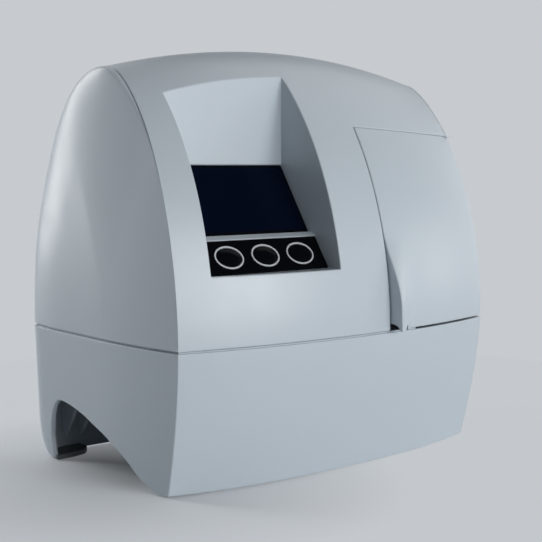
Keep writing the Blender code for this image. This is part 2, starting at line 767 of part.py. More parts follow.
PANEL_SLOPE = Slope((PANEL_FOOT_Y, LEDGE_Z + LEDGE_SLOPE), PANEL_RUN, PANEL_RISE)
BAR_SLOPE = Slope(PANEL_SLOPE.head, BAR_RUN, BAR_RISE)
DISPLAY_SLOPE = Slope(BAR_SLOPE.head, DISPLAY_RUN, DISPLAY_RISE)


def recess_outline(seat):
    """Cut of the recess in Y and Z. Seat is how far the panes are let in."""
    return [(-DEPTH, LEDGE_Z - LEDGE_SLOPE), PANEL_SLOPE.at(0), PANEL_SLOPE.at(0, -seat),
            PANEL_SLOPE.at(1, -seat), PANEL_SLOPE.at(1), BAR_SLOPE.at(1),
            DISPLAY_SLOPE.at(0, -seat), DISPLAY_SLOPE.at(1, -seat), DISPLAY_SLOPE.at(1),
            (DISPLAY_SLOPE.head.x, HEIGHT + OVERRUN), (-DEPTH, HEIGHT + OVERRUN)]


def liner_outline():
    """Outside of the moulded walls round the recess, in Y and Z."""
    back = GLAZING + FIT + RECESS_WALL
    head_y = DISPLAY_SLOPE.head.x + RECESS_WALL
    return [(-DEPTH, LEDGE_Z - LEDGE_SLOPE - RECESS_WALL),
            (PANEL_SLOPE.at(0, -back).x, LEDGE_Z - RECESS_WALL),
            PANEL_SLOPE.at(1, -back), BAR_SLOPE.at(1, -back - RECESS_WALL / 2),
            DISPLAY_SLOPE.at(1, -back), (head_y + RECESS_WALL, DISPLAY_SLOPE.head.y + RECESS_WALL),
            (head_y, DISPLAY_SLOPE.head.y + 2 * RECESS_WALL),
            (head_y, HEIGHT + OVERRUN), (-DEPTH, HEIGHT + OVERRUN)]


def add_recess(cover):
    bm = add_prism(bmesh.new(), liner_outline(), "X",
                   RECESS_LEFT - RECESS_WALL, RECESS_RIGHT + RECESS_WALL)
    liner = boolean(cover, "recess_liner", bm, "UNION")
    boolean(liner, "recess_clip", body_volume(FIT), "INTERSECT")
    pocket = add_prism(bmesh.new(), recess_outline(GLAZING + FIT), "X", RECESS_LEFT, RECESS_RIGHT)
    boolean(cover, "recess_pocket", pocket, "DIFFERENCE")
    window = slanted_block(DISPLAY_SLOPE, VIEW_WIDTH, VIEW_HEIGHT, -OVERRUN, OVERRUN)
    boolean(cover, "display_aperture", window, "DIFFERENCE")
    for i, x in enumerate(key_places()):
        hole = slanted_oval(PANEL_SLOPE, x, STEM_RADIUS + FIT, STEM_RADIUS + FIT, -OVERRUN / 2, 0)
        boolean(cover, "stem_hole_%d" % i, hole, "DIFFERENCE")


def body_volume(inset):
    """Solid under the front half of the arch, for clipping."""
    bm = bmesh.new()
    rings = []
    for s in spread(-1, 1, 21):
        ring = []
        for turn in spread(0, QUARTER, 17):
            ring.append(arch((edge_half(turn) - PARTING) * s, turn, inset))
        foot = ring[-1].copy()
        foot.z = SEAM_Z
        ring.append(foot)
        rings.append(ring)
    return add_rings(bm, rings)


def slanted_frame(slope, x=None):
    """Matrix whose X runs across, Y up the slope and Z out of it, from the slope's middle."""
    middle = slope.at(0.5)
    axes = Matrix(((1, 0, 0), (0, slope.along.x, slope.out.x), (0, slope.along.y, slope.out.y)))
    place = Vector((RECESS_MID if x is None else x, middle.x, middle.y))
    return Matrix.Translation(place) @ axes.to_4x4()


def slanted_block(slope, width, height, low, high, rise=0.0):
    bm = block((-width / 2, rise - height / 2, low), (width / 2, rise + height / 2, high))
    bm.transform(slanted_frame(slope))
    return bm


def slanted_oval(slope, x, half_width, half_height, low, high, segments=16):
    bm = add_prism(bmesh.new(), ellipse((0, 0), half_width, half_height, segments), "Z", low, high)
    bm.transform(slanted_frame(slope, x))
    return bm


VIEW_WIDTH = 56 * MM
VIEW_HEIGHT = 28 * MM
STEM_RADIUS = 2.6 * MM
STEM_LENGTH = 3.4 * MM
KEY_PROUD = 0.35 * MM
KEY_BODY = 1.05 * MM
MODULE_MARGIN = 3 * MM
MODULE_DEPTH = 6 * MM
SWITCH_HEIGHT = 2.4 * MM
PLUNGER_HEIGHT = 1.1 * MM
PLUNGER_RADIUS = 1.6 * MM
SWITCH_RADIUS = 3 * MM
KEY_BOARD_WIDTH = 62 * MM
KEY_BOARD_HEIGHT = 13 * MM
KEY_NAMES = ("left", "middle", "right")


def key_places():
    return [RECESS_MID + KEY_PITCH * i for i in (-1, 0, 1)]


def pane(name, slope, finish):
    """Thin plate that fills the recess from wall to wall, flush with the slope."""
    width, height = RECESS_WIDTH - 2 * FIT, slope.length - 2 * FIT
    return place_mesh(name, slanted_block(slope, width, height, -GLAZING, 0), finish)


def build_display_window():
    return pane("display_window", DISPLAY_SLOPE, black_gloss())


def build_key_panel():
    panel = pane("key_panel", PANEL_SLOPE, black_gloss())
    half_width = KEY_WIDTH / 2 + 2 * FIT + RING_WIDTH
    half_height = KEY_HEIGHT / 2 + 2 * FIT + RING_WIDTH
    for i, x in enumerate(key_places()):
        hole = slanted_oval(PANEL_SLOPE, x, half_width, half_height, -OVERRUN / 2, OVERRUN / 2, 24)
        boolean(panel, "key_hole_%d" % i, hole, "DIFFERENCE")
    return panel


def build_button_rings():
    """Pale oval rings that line the three key holes."""
    for name, x in zip(KEY_NAMES, key_places()):
        rings = []
        for grow, level in ((RING_WIDTH, -GLAZING), (RING_WIDTH, KEY_PROUD / 3), (0, KEY_PROUD / 3),
                            (0, -GLAZING)):
            outline = ellipse((0, 0), KEY_WIDTH / 2 + FIT + grow, KEY_HEIGHT / 2 + FIT + grow, 24)
            rings.append([slanted_frame(PANEL_SLOPE, x) @ Vector((*p, level)) for p in outline])
        place_mesh("button_ring_" + name, add_rings(bmesh.new(), rings, wrap=True), ring_print())


def build_button(name, x):
    """Oval key cap with a round stem behind it. Its origin is the middle of its face."""
    frame = slanted_frame(PANEL_SLOPE, x)
    cap = []
    for share, level in ((1, -KEY_BODY), (1, KEY_PROUD / 2), (0.96, KEY_PROUD)):
        outline = ellipse((0, 0), KEY_WIDTH / 2 * share, KEY_HEIGHT / 2 * share, 24)
        cap.append([Vector((*p, level)) for p in outline])
    stem = []
    for level in (-KEY_BODY - STEM_LENGTH, -KEY_BODY):
        outline = ellipse((0, 0), STEM_RADIUS, STEM_RADIUS, 24)
        stem.append([Vector((*p, level)) for p in outline])
    bm = add_rings(bmesh.new(), stem + cap)
    made = place_mesh(name, bm, black_gloss())
    made.matrix_world = frame
    return made


def key_board_top():
    """Level of the key board's face, behind the panel's front face."""
    stem_end = KEY_BODY + STEM_LENGTH
    return -(stem_end + KEY_TRAVEL + FIT / 2 + PLUNGER_HEIGHT + SWITCH_HEIGHT)


def build_key_board():
    top = key_board_top() - FIT
    bm = slanted_block(PANEL_SLOPE, KEY_BOARD_WIDTH, KEY_BOARD_HEIGHT, top - BOARD_THICKNESS, top)
    return place_mesh("key_board", bm, circuit_board())


def build_key_switches():
    low = key_board_top()
    for name, x in zip(KEY_NAMES, key_places()):
        rings = []
        for radius, level in ((SWITCH_RADIUS, 0), (SWITCH_RADIUS, SWITCH_HEIGHT),
                              (PLUNGER_RADIUS, SWITCH_HEIGHT),
                              (PLUNGER_RADIUS, SWITCH_HEIGHT + PLUNGER_HEIGHT)):
            outline = ellipse((0, 0), radius, radius, 16)
            rings.append([slanted_frame(PANEL_SLOPE, x) @ Vector((*p, low + level))
                          for p in outline])
        place_mesh("key_switch_" + name, add_rings(bmesh.new(), rings), dark_plastic())


def build_display_module():
    back = GLAZING + FIT + RECESS_WALL + FIT
    bm = slanted_block(DISPLAY_SLOPE, VIEW_WIDTH + 2 * MODULE_MARGIN, VIEW_HEIGHT + 2 * MODULE_MARGIN,
                       -back - MODULE_DEPTH, -back)
    return place_mesh("display_module", bm, dark_plastic())


def build_rear_cover():
    shares = spread(-1, 1, 13)
    steps = spread(0, 1, 13)
    limit_y = RIDGE_LINE_Y + PARTING / 2
    outer_turns = cover_turns(shares, split_turn(limit_y), lambda s: math.pi, steps)
    inner_turns = cover_turns(shares, split_turn(limit_y, WALL), lambda s: math.pi, steps)
    outer, inner = strip_grid(outer_turns, inner_turns, shares, WALL)
    cover = place_mesh("rear_cover", add_sheet(bmesh.new(), outer, inner), housing_plastic())
    cut_vents(cover)
    return cover


VENT_COUNT = 6
VENT_LENGTH = 44 * MM
VENT_HEIGHT = 2.6 * MM
VENT_PITCH = 6.5 * MM
VENT_RISE = 22 * MM
VENT_ROUND_SHARE = 0.49
VENT_SPREAD = 34 * MM


def cut_vents(cover):
    bm = bmesh.new()
    for side in (-1, 1):
        for i in range(VENT_COUNT):
            centre = (side * VENT_SPREAD, SEAM_Z + VENT_RISE + i * VENT_PITCH)
            slot = rounded(centre, (VENT_LENGTH, VENT_HEIGHT), VENT_HEIGHT * VENT_ROUND_SHARE, 2)
            add_prism(bm, slot, "Y", REAR_Y - OVERRUN, REAR_Y + OVERRUN)
    boolean(cover, "vents", bm, "DIFFERENCE")


def build_side_cover(name, side):
    """Side cover: a fan of rows from its arched edge to its middle on the seam.

    Its inner skin runs on under the edge of the middle cover."""
    shares = (0, 0.005, 0.02, 0.045, 0.085, 0.14, 0.22, 0.36, 0.55, 0.8)
    turns = spread(0, math.pi, 25)
    bm = bmesh.new()
    skins = []
    for inset, thickness in ((0.0, 0.0), (WALL + FIT, WALL)):
        rows = []
        for turn in turns:
            row = []
            for share in shares:
                point = side_point(turn, share, inset)
                x = min(point.x + PARTING / 2, WIDTH / 2) - thickness
                if share == 0:
                    x = edge_half(turn) + PARTING / 2
                row.append(bm.verts.new((side * x, point.y, max(point.z, SEAM_Z))))
            rows.append(row)
        pole = bm.verts.new((side * (WIDTH / 2 - thickness), SIDE_PEAK_Y, SEAM_Z))
        skins.append((rows, pole))
    (outer, outer_pole), (inner, inner_pole) = skins
    last = len(shares) - 1
    for rows, pole in skins:
        for low, high in zip(rows, rows[1:]):
            for j in range(last):
                bm.faces.new((low[j], low[j + 1], high[j + 1], high[j]))
            bm.faces.new((low[last], pole, high[last]))
    for i in range(len(turns) - 1):
        bm.faces.new((outer[i][0], outer[i + 1][0], inner[i + 1][0], inner[i][0]))
    for end in (0, -1):
        for j in range(last):
            bm.faces.new((outer[end][j], outer[end][j + 1], inner[end][j + 1], inner[end][j]))
        bm.faces.new((outer[end][last], outer_pole, inner_pole, inner[end][last]))
    return place_mesh(name, bm, housing_plastic())


def cut_flange_opening(cover):
    """Room in the right side cover for the part of the door that wraps the corner."""
    bm = add_prism(bmesh.new(), door_opening_outline(PARTING), "Y", -DEPTH,
                   DOOR_EDGE_Y + HINGE_GAP)
    boolean(cover, "flange_opening", bm, "DIFFERENCE")


# Door

HINGE_GAP = 1.4 * MM
LIP_FADE_START = 13 * MM
LIP_FADE_END = 47 * MM
LIP_NOTCH_DEPTH = 5.9 * MM
LIP_NOTCH_HEIGHT = 3.4 * MM


def lip_push(x, z):
    """How far the finger lip stands out in front of the door."""
    across = 1 - smooth_step((x - DOOR_LEFT) / LIP_WIDTH)
    up = 1 - smooth_step((z - SEAM_Z - LIP_FADE_START) / (LIP_FADE_END - LIP_FADE_START))
    return LIP_REACH * across * up


def door_row(share, front_count=15, flange_shares=(0.12, 0.4, 0.7, 1)):
    """One level of the door: its front from the left, then its flange round the corner."""
    bottom = SEAM_Z
    row = []
    left = DOOR_LEFT + PARTING
    corner_z = bottom + (door_top(FRONT_HALF) - bottom) * share
    climb = (corner_z - SEAM_Z) / (ridge_line(RIDGE_HALF) - SEAM_Z)
    turn = math.asin(climb ** (FRONT_ARCH_UP_POWER / 2))
    right = edge_half(turn)
    stations = [0, 0.025, 0.06, 0.1, 0.14, 0.18, 0.22]
    stations += spread(0.28, 1, front_count - len(stations))
    for s in stations:
        x = left + (right - left) * s
        z = bottom + (door_top(x) - bottom) * share
        row.append(Vector((x, front_y(x, z), z)))
    corner = row[-1]
    for s in flange_shares:
        y = corner.y + (DOOR_EDGE_Y - corner.y) * s
        row.append(Vector((side_x(y, corner.z), y, corner.z)))
    return row


def inwards(row, distance):
    """Copy of a row moved inwards in plan, mitred at its bends."""
    moved = []
    for i, point in enumerate(row):
        before = row[max(i - 1, 0)]
        after = row[min(i + 1, len(row) - 1)]
        normals = []
        for a, b in ((before, point), (point, after)):
            run = (b - a).to_2d()
            if run.length > 0:
                normals.append(Vector((-run.y, run.x)).normalized())
        mean = sum(normals, Vector((0, 0))).normalized()
        reach = distance / max(mean.dot(normals[0]), 0.5)
        moved.append(Vector((point.x + mean.x * reach, point.y + mean.y * reach, point.z)))
    moved[-1].y = row[-1].y
    moved[0].x = row[0].x
    return moved


def build_door():
    outer, inner = [], []
    for share in (0, 0.06, 0.12, 0.2, 0.28, 0.36, 0.44, 0.52, 0.62, 0.74, 0.87, 1):
        row = door_row(share)
        inner.append(inwards(row, DOOR_WALL))
        outer.append([Vector((p.x, p.y - lip_push(p.x, p.z) * (p.y < DOOR_EDGE_Y), p.z))
                      for p in row])
    door = place_mesh("door", add_sheet(bmesh.new(), outer, inner), housing_plastic())
    notch_y = front_y(DOOR_LEFT, SEAM_Z)
    notch = ellipse((notch_y, SEAM_Z), LIP_NOTCH_DEPTH, LIP_NOTCH_HEIGHT, 24)
    bm = add_prism(bmesh.new(), notch, "X", DOOR_LEFT - OVERRUN, DOOR_LEFT + LIP_WIDTH / 2)
    boolean(door, "lip_notch", bm, "DIFFERENCE")
    for i, low in enumerate(ARM_LOWS):
        boolean(door, "hinge_arm_%d" % i, hinge_arm(low), "UNION")
    for i, low in enumerate(ARM_LOWS):
        hole = ellipse((HINGE_X, HINGE_Y), PIN_RADIUS + 2 * RUNNING, PIN_RADIUS + 2 * RUNNING, 16)
        bm = add_prism(bmesh.new(), hole, "Z", low - OVERRUN / 4, low + ARM_HEIGHT + OVERRUN / 4)
        boolean(door, "pin_hole_%d" % i, bm, "DIFFERENCE")
    move_origin(door, (HINGE_X, HINGE_Y, SEAM_Z))
    return door


def move_origin(made, place):
    """Put an object's origin on its joint axis, with its mesh where it was."""
    made.data.transform(Matrix.Translation(-Vector(place)))
    made.location = place


def hinge_arm(low):
    """Bent arm from the barrel, inwards, forwards and out to the door's flange."""
    half = ARM_WIDTH / 2
    flange_y = HINGE_Y - ARM_FORWARD
    flange_x = side_x(flange_y, low + ARM_HEIGHT / 2) - DOOR_WALL / 2 - HINGE_X
    outline = [(-ARM_REACH - half, 0), (-ARM_REACH - half, -ARM_FORWARD - half),
               (flange_x, -ARM_FORWARD - half), (flange_x, -ARM_FORWARD + half),
               (-ARM_REACH + half, -ARM_FORWARD + half), (-ARM_REACH + half, -half)]
    start = math.asin(half / BARREL_RADIUS)
    outline += [(BARREL_RADIUS * math.cos(a), BARREL_RADIUS * math.sin(a))
                for a in spread(math.pi + start, 3 * math.pi - start, 13)]
    outline.append((-ARM_REACH, half))
    outline = [(HINGE_X + x, HINGE_Y + y) for x, y in outline]
    return add_prism(bmesh.new(), outline, "Z", low, low + ARM_HEIGHT)


BRACKET_PLATE = 1.5 * MM
LUG_HALF = 3.2 * MM


def lug_levels():
    """Low and high level of each of the four hinge lugs."""
    levels = []
    for low in ARM_LOWS:
        levels.append((low - FIT - LUG_THICKNESS, low - FIT))
        levels.append((low + ARM_HEIGHT + FIT, low + ARM_HEIGHT + FIT + LUG_THICKNESS))
    return levels


def build_hinge_bracket():
    """Plate on the bay's right wall with four lugs that hold the two hinge pins."""
    levels = lug_levels()
    plate_x = BAY_RIGHT + BAY_WALL + FIT
    low = (plate_x, HINGE_Y - LUG_HALF, levels[0][0])
    high = (plate_x + BRACKET_PLATE, HINGE_Y + LUG_HALF, levels[-1][1])
    bracket = place_mesh("hinge_bracket", block(low, high), steel())
    for i, (bottom, top) in enumerate(levels):
        outline = [(plate_x + BRACKET_PLATE / 2, HINGE_Y - LUG_HALF)]
        outline += [(HINGE_X + BARREL_RADIUS * math.sin(a), HINGE_Y - LUG_HALF * math.cos(a))
                    for a in spread(0, math.pi, 9)]
        outline.append((plate_x + BRACKET_PLATE / 2, HINGE_Y + LUG_HALF))
        boolean(bracket, "lug_%d" % i, add_prism(bmesh.new(), outline, "Z", bottom, top), "UNION")
    hole = ellipse((HINGE_X, HINGE_Y), PIN_RADIUS + RUNNING, PIN_RADIUS + RUNNING, 16)
    bm = add_prism(bmesh.new(), hole, "Z", levels[0][0] - OVERRUN, levels[-1][1] + OVERRUN)
    boolean(bracket, "bracket_hole", bm, "DIFFERENCE")
    return bracket


def build_hinge_pins():
    levels = lug_levels()
    ring = ellipse((HINGE_X, HINGE_Y), PIN_RADIUS, PIN_RADIUS, 16)
    for name, (bottom, top) in (("lower", levels[0:2]), ("upper", levels[2:4])):
        place_mesh("hinge_pin_" + name, add_prism(bmesh.new(), ring, "Z", bottom[0], top[1]),
                   steel())


MAGNET_WIDTH = 5 * MM
MAGNET_DEPTH = 4 * MM
MAGNET_HEIGHT = 10 * MM
MAGNET_RISE_SHARE = 0.62
CATCH_WALL = 1.5 * MM
STRIKE_DEPTH = 3 * MM


def catch_box(margin):
    """Corners of the magnet's place on the bay's left wall, grown by a margin."""
    left = BAY_LEFT - BAY_WALL + CATCH_WALL
    bottom = SEAM_Z + DOOR_HEIGHT * MAGNET_RISE_SHARE
    strike_y = front_y(left, bottom + MAGNET_HEIGHT) + DOOR_WALL + FIT
    front = strike_y + STRIKE_DEPTH + 2 * FIT
    low = (left - margin, front, bottom - margin)
    high = (left + MAGNET_WIDTH + margin, front + MAGNET_DEPTH, bottom + MAGNET_HEIGHT + margin)
    return low, high


def add_magnet_holder(bay):
    """Arm from the bay's left wall with a pocket for the magnet in its front."""
    low, high = catch_box(CATCH_WALL)
    boolean(bay, "magnet_holder", block(low, (high[0], BAY_FRONT_Y + BAY_WALL, high[2])), "UNION")
    low, high = catch_box(FIT)
    pocket = block((low[0], low[1] - OVERRUN, low[2]), (high[0], high[1] + FIT, high[2]))
    boolean(bay, "magnet_pocket", pocket, "DIFFERENCE")


def build_door_catch():
    """Magnet in its holder, and the steel strike on the door's inner face."""
    low, high = catch_box(0)
    place_mesh("door_magnet", block(low, high), steel())
    rear = low[1] - 2 * FIT
    front_grid, rear_grid = [], []
    for z in (low[2], (low[2] + high[2]) / 2, high[2]):
        across = [low[0], high[0]]
        front_grid.append([Vector((x, front_y(x, z) + DOOR_WALL + FIT, z)) for x in across])
        rear_grid.append([Vector((x, rear, z)) for x in across])
    place_mesh("door_strike", add_sheet(bmesh.new(), front_grid, rear_grid), steel())


# Bay, rotor and drive

LEG_WIDTH = 8 * MM
LEG_SPREAD_SHARE = 0.5
BEARING_BOSS = 9 * MM
BOSS_DEPTH = 10 * MM
MOTOR_RADIUS = 17.5 * MM
MOTOR_DEPTH = 20 * MM
MOTOR_FLANGE = 21 * MM


def build_bay():
    """Open-fronted bay on four legs, with a bearing boss in its rear wall.

    Its top is set back, because the door leans back there."""
    bottom, top = BAY_FLOOR_Z - BAY_WALL, BAY_FLOOR_Z + BAY_HEIGHT + BAY_WALL
    rear = BAY_REAR_Y + BAY_WALL
    outline = [(BAY_FRONT_Y, bottom), (rear, bottom), (rear, top),
               (BAY_FRONT_Y + BAY_TOP_SETBACK, top), (BAY_FRONT_Y, BAY_BEND_Z)]
    body = add_prism(bmesh.new(), outline, "X", BAY_LEFT - BAY_WALL, BAY_RIGHT + BAY_WALL)
    bay = place_mesh("cartridge_bay", body, chassis_plastic())
    legs = bmesh.new()
    for x in (BAY_LEFT + LEG_WIDTH / 2, BAY_RIGHT - LEG_WIDTH / 2):
        for y in (BAY_FRONT_Y + LEG_WIDTH / 2, BAY_REAR_Y - LEG_WIDTH / 2):
            add_block(legs, (x - LEG_WIDTH / 2, y - LEG_WIDTH / 2, PAN_TOP_Z + FIT),
                      (x + LEG_WIDTH / 2, y + LEG_WIDTH / 2, BAY_FLOOR_Z - BAY_WALL / 2))
    boolean(bay, "bay_legs", legs, "UNION")
    boss = add_turned(bmesh.new(), [(BEARING_BOSS, 0), (BEARING_BOSS, BOSS_DEPTH)],
                      (ROTOR_X, BAY_REAR_Y + BAY_WALL / 2, ROTOR_Z), "Y", 24)
    boolean(bay, "bearing_boss", boss, "UNION")
    inside = block((BAY_LEFT, BAY_FRONT_Y - OVERRUN, BAY_FLOOR_Z),
                   (BAY_RIGHT, BAY_REAR_Y, BAY_FLOOR_Z + BAY_HEIGHT))
    boolean(bay, "bay_inside", inside, "DIFFERENCE")
    seat = add_turned(bmesh.new(), [(BEARING_RADIUS + RUNNING, -OVERRUN),
                                    (BEARING_RADIUS + RUNNING, OVERRUN)],
                      (ROTOR_X, BAY_REAR_Y + BAY_WALL, ROTOR_Z), "Y", 24)
    boolean(bay, "bearing_seat", seat, "DIFFERENCE")
    return bay


def bearing_places():
    """Y where each bearing starts."""
    first = BAY_REAR_Y + FIT
    last = BAY_REAR_Y + BAY_WALL / 2 + BOSS_DEPTH - BEARING_WIDTH
    return first, last


def build_shaft_bearings():
    profile = [(BEARING_RADIUS, 0), (BEARING_RADIUS, BEARING_WIDTH)]
    for name, y in zip(("front", "rear"), bearing_places()):
        bm = add_turned(bmesh.new(), profile, (ROTOR_X, y, ROTOR_Z), "Y", 24,
                        bore=SHAFT_RADIUS + RUNNING)
        place_mesh("shaft_bearing_" + name, bm, steel())


SLOT_WIDTH = 24 * MM
SLOT_HEIGHT = 12 * MM
SLOT_DEPTH = 12 * MM
HUB_RADIUS = 5.5 * MM
ROTOR_CLEARANCE = 3 * MM


def rotor_rear_y():
    return BAY_REAR_Y - ROTOR_CLEARANCE


def build_rotor():
    """Disc that carries the cartridge in an open slot and turns it through the reading place."""
    rear = rotor_rear_y()
    front = rear - ROTOR_THICKNESS
    rim = ROTOR_RADIUS - ROTOR_CLEARANCE / 2
    profile = [(rim, 0), (ROTOR_RADIUS, ROTOR_CLEARANCE / 2), (ROTOR_RADIUS, ROTOR_THICKNESS),
               (HUB_RADIUS, ROTOR_THICKNESS), (HUB_RADIUS, ROTOR_THICKNESS + ROTOR_CLEARANCE / 2)]
    rotor = place_mesh("cartridge_rotor",
                       add_turned(bmesh.new(), profile, (ROTOR_X, front, ROTOR_Z), "Y", 36),
                       dark_plastic())
    slot = block((ROTOR_X - SLOT_WIDTH / 2, front - OVERRUN, ROTOR_Z),
                 (ROTOR_X + SLOT_WIDTH / 2, front + SLOT_DEPTH, ROTOR_Z + ROTOR_RADIUS + OVERRUN))
    boolean(rotor, "rotor_slot", slot, "DIFFERENCE")
    bore = add_turned(bmesh.new(), [(SHAFT_RADIUS + RUNNING, 0), (SHAFT_RADIUS + RUNNING, OVERRUN)],
                      (ROTOR_X, front + ROTOR_THICKNESS / 2 + SLOT_DEPTH / 2, ROTOR_Z), "Y", 24)
    boolean(rotor, "rotor_bore", bore, "DIFFERENCE")
    move_origin(rotor, (ROTOR_X, rear, ROTOR_Z))
    return rotor


def gear_start_y():
    return BAY_REAR_Y + BAY_WALL / 2 + BOSS_DEPTH + FIT


def build_rotor_shaft():
    start = rotor_rear_y() - ROTOR_THICKNESS / 2 + SLOT_DEPTH / 2 + FIT
    end = gear_start_y() + GEAR_WIDTH + ROTOR_CLEARANCE
    bm = add_turned(bmesh.new(), [(SHAFT_RADIUS, start), (SHAFT_RADIUS, end)],
                    (ROTOR_X, 0, ROTOR_Z), "Y", 24)
    made = place_mesh("rotor_shaft", bm, steel())
    move_origin(made, (ROTOR_X, rotor_rear_y(), ROTOR_Z))
    return made


def gear_outline(teeth, turned):
    """Teeth as trapezia round the pitch circle. Turned is in shares of a tooth pitch."""
    pitch_radius = GEAR_MODULE * teeth / 2
    pitch_angle = 2 * math.pi / teeth
    root = pitch_radius - GEAR_ROOT_SHARE * GEAR_MODULE
    tip = pitch_radius + GEAR_TIP_SHARE * GEAR_MODULE
    root_share, tip_share = 0.36, 0.1
    points = []
    for tooth in range(teeth):
        middle = (tooth + turned) * pitch_angle
        for radius, share in ((root, -root_share), (tip, -tip_share), (tip, tip_share),
                              (root, root_share)):
            a = middle + share * pitch_angle
            points.append((radius * math.sin(a), radius * math.cos(a)))
    return points


def build_gear(name, teeth, turned, centre, bore, finish):
    outline = [(centre[0] + x, centre[1] + z) for x, z in gear_outline(teeth, turned)]
    low = gear_start_y()
    gear = place_mesh(name, add_prism(bmesh.new(), outline, "Y", low, low + GEAR_WIDTH), finish,
                      math.radians(20))
    hole = add_turned(bmesh.new(), [(bore, -OVERRUN), (bore, OVERRUN)],
                      (centre[0], low, centre[1]), "Y", 24)
    boolean(gear, name + "_bore", hole, "DIFFERENCE")
    move_origin(gear, (centre[0], low, centre[1]))
    return gear


MOTOR_SHAFT_RADIUS = 1.5 * MM
PINION_X = ROTOR_X
PINION_Z = ROTOR_Z + GEAR_SPACING


def build_drive_motor():
    """Can-stack motor behind the bay. Its shaft carries the pinion."""
    front = gear_start_y() + GEAR_WIDTH + FIT
    profile = [(MOTOR_RADIUS, 0), (MOTOR_RADIUS, MOTOR_DEPTH)]
    motor = add_turned(bmesh.new(), profile, (PINION_X, front, PINION_Z), "Y", 32)
    made = place_mesh("drive_motor", motor, aluminium())
    hole = add_turned(bmesh.new(), [(MOTOR_SHAFT_RADIUS + RUNNING, -OVERRUN),
                                    (MOTOR_SHAFT_RADIUS + RUNNING, OVERRUN / 2)],
                      (PINION_X, front, PINION_Z), "Y", 16)
    boolean(made, "motor_bore", hole, "DIFFERENCE")
    ears = bmesh.new()
    for side in (-1, 1):
        ends = sorted((side * MOTOR_RADIUS / 2, side * (MOTOR_FLANGE + EAR_RADIUS)))
        add_block(ears, (PINION_X + ends[0], front, PINION_Z - EAR_RADIUS),
                  (PINION_X + ends[1], front + EAR_THICKNESS, PINION_Z + EAR_RADIUS))
    boolean(made, "motor_ears", ears, "UNION")
    return made


EAR_RADIUS = 3.5 * MM
EAR_THICKNESS = 1.2 * MM


def build_motor_posts(bay):
    """Two posts on the bay's rear wall that carry the motor's ears."""
    front = BAY_REAR_Y + BAY_WALL / 2
    rear = gear_start_y() + GEAR_WIDTH
    posts = bmesh.new()
    for side in (-1, 1):
        x = PINION_X + side * MOTOR_FLANGE
        add_turned(posts, [(EAR_RADIUS, front), (EAR_RADIUS, rear)], (x, 0, PINION_Z), "Y", 16)
    boolean(bay, "motor_posts", posts, "UNION")


def build_motor_shaft():
    start = gear_start_y() - FIT
    end = gear_start_y() + GEAR_WIDTH + FIT + OVERRUN / 2 - FIT
    bm = add_turned(bmesh.new(), [(MOTOR_SHAFT_RADIUS, start), (MOTOR_SHAFT_RADIUS, end)],
                    (PINION_X, 0, PINION_Z), "Y", 16)
    made = place_mesh("motor_shaft", bm, steel())
    move_origin(made, (PINION_X, gear_start_y(), PINION_Z))
    return made


OPTICS_WIDTH = 10 * MM
OPTICS_DEPTH = 18 * MM
OPTICS_HEIGHT = 22 * MM
LENS_RADIUS = 3 * MM
LENS_LENGTH = 4 * MM


def build_optical_head():
    """Block on the bay's ceiling that reads the cartridge as it passes."""
    top = BAY_FLOOR_Z + BAY_HEIGHT - FIT
    rear = rotor_rear_y()
    bottom = ROTOR_Z + ROTOR_RADIUS + ROTOR_CLEARANCE
    low = (ROTOR_X - OPTICS_WIDTH, rear - OPTICS_DEPTH, bottom)
    head = place_mesh("optical_head", block(low, (ROTOR_X + OPTICS_WIDTH, rear, top)),
                      dark_plastic())
    hole = add_turned(bmesh.new(), [(LENS_RADIUS + RUNNING, -OVERRUN),
                                    (LENS_RADIUS + RUNNING, LENS_LENGTH + FIT)],
                      (ROTOR_X, rear - OPTICS_DEPTH / 2, bottom), "Z", 20)
    boolean(head, "lens_seat", hole, "DIFFERENCE")
    return head


def build_lens():
    rear = rotor_rear_y()
    bottom = ROTOR_Z + ROTOR_RADIUS + ROTOR_CLEARANCE
    bm = add_turned(bmesh.new(), [(LENS_RADIUS - FIT, FIT), (LENS_RADIUS, 2 * FIT),
                                  (LENS_RADIUS, LENS_LENGTH)],
                    (ROTOR_X, rear - OPTICS_DEPTH / 2, bottom), "Z", 20)
    return place_mesh("optical_lens", bm, material("lens_glass", (0.75, 0.82, 0.85), 0.05))


HEATER_MARGIN = 6 * MM
HEATER_THICKNESS = 2 * MM


def build_heater_plate():
    low = (BAY_LEFT + HEATER_MARGIN, BAY_FRONT_Y + HEATER_MARGIN, BAY_FLOOR_Z + FIT)
    high = (BAY_RIGHT - HEATER_MARGIN, BAY_REAR_Y - HEATER_MARGIN, low[2] + HEATER_THICKNESS)
    return place_mesh("heater_plate", block(low, high), aluminium())


# Electronics

BOARD_LEFT = -84 * MM
BOARD_WIDTH = 100 * MM
BOARD_SETBACK = 32.65 * MM
BOARD_INSET = 5 * MM
POST_RADIUS = 3 * MM
CONNECTOR_DEPTH = 14 * MM


def board_box():
    rear = REAR_Y - REAR_DRAFT - WALL - 2 * FIT
    low_z = PAN_TOP_Z + STANDOFF
    low = (BOARD_LEFT, BOW_Y + BOARD_SETBACK, low_z)
    return low, (BOARD_LEFT + BOARD_WIDTH, rear, low_z + BOARD_THICKNESS)


def board_corners():
    low, high = board_box()
    xs = (low[0] + 2 * BOARD_INSET, high[0] - BOARD_INSET)
    ys = (low[1] + BOARD_INSET, high[1] - 2 * BOARD_INSET)
    return [("%d%d" % (i, j), (x, y)) for i, x in enumerate(xs) for j, y in enumerate(ys)]


def build_main_board():
    low, high = board_box()
    size = (high[0] - low[0], high[1] - low[1])
    centre = ((high[0] + low[0]) / 2, (high[1] + low[1]) / 2)
    outline = rounded(centre, size, CORNER_DEPTH, 4)
    bm = add_prism(bmesh.new(), outline, "Z", low[2], high[2])
    return place_mesh("main_board", bm, circuit_board())


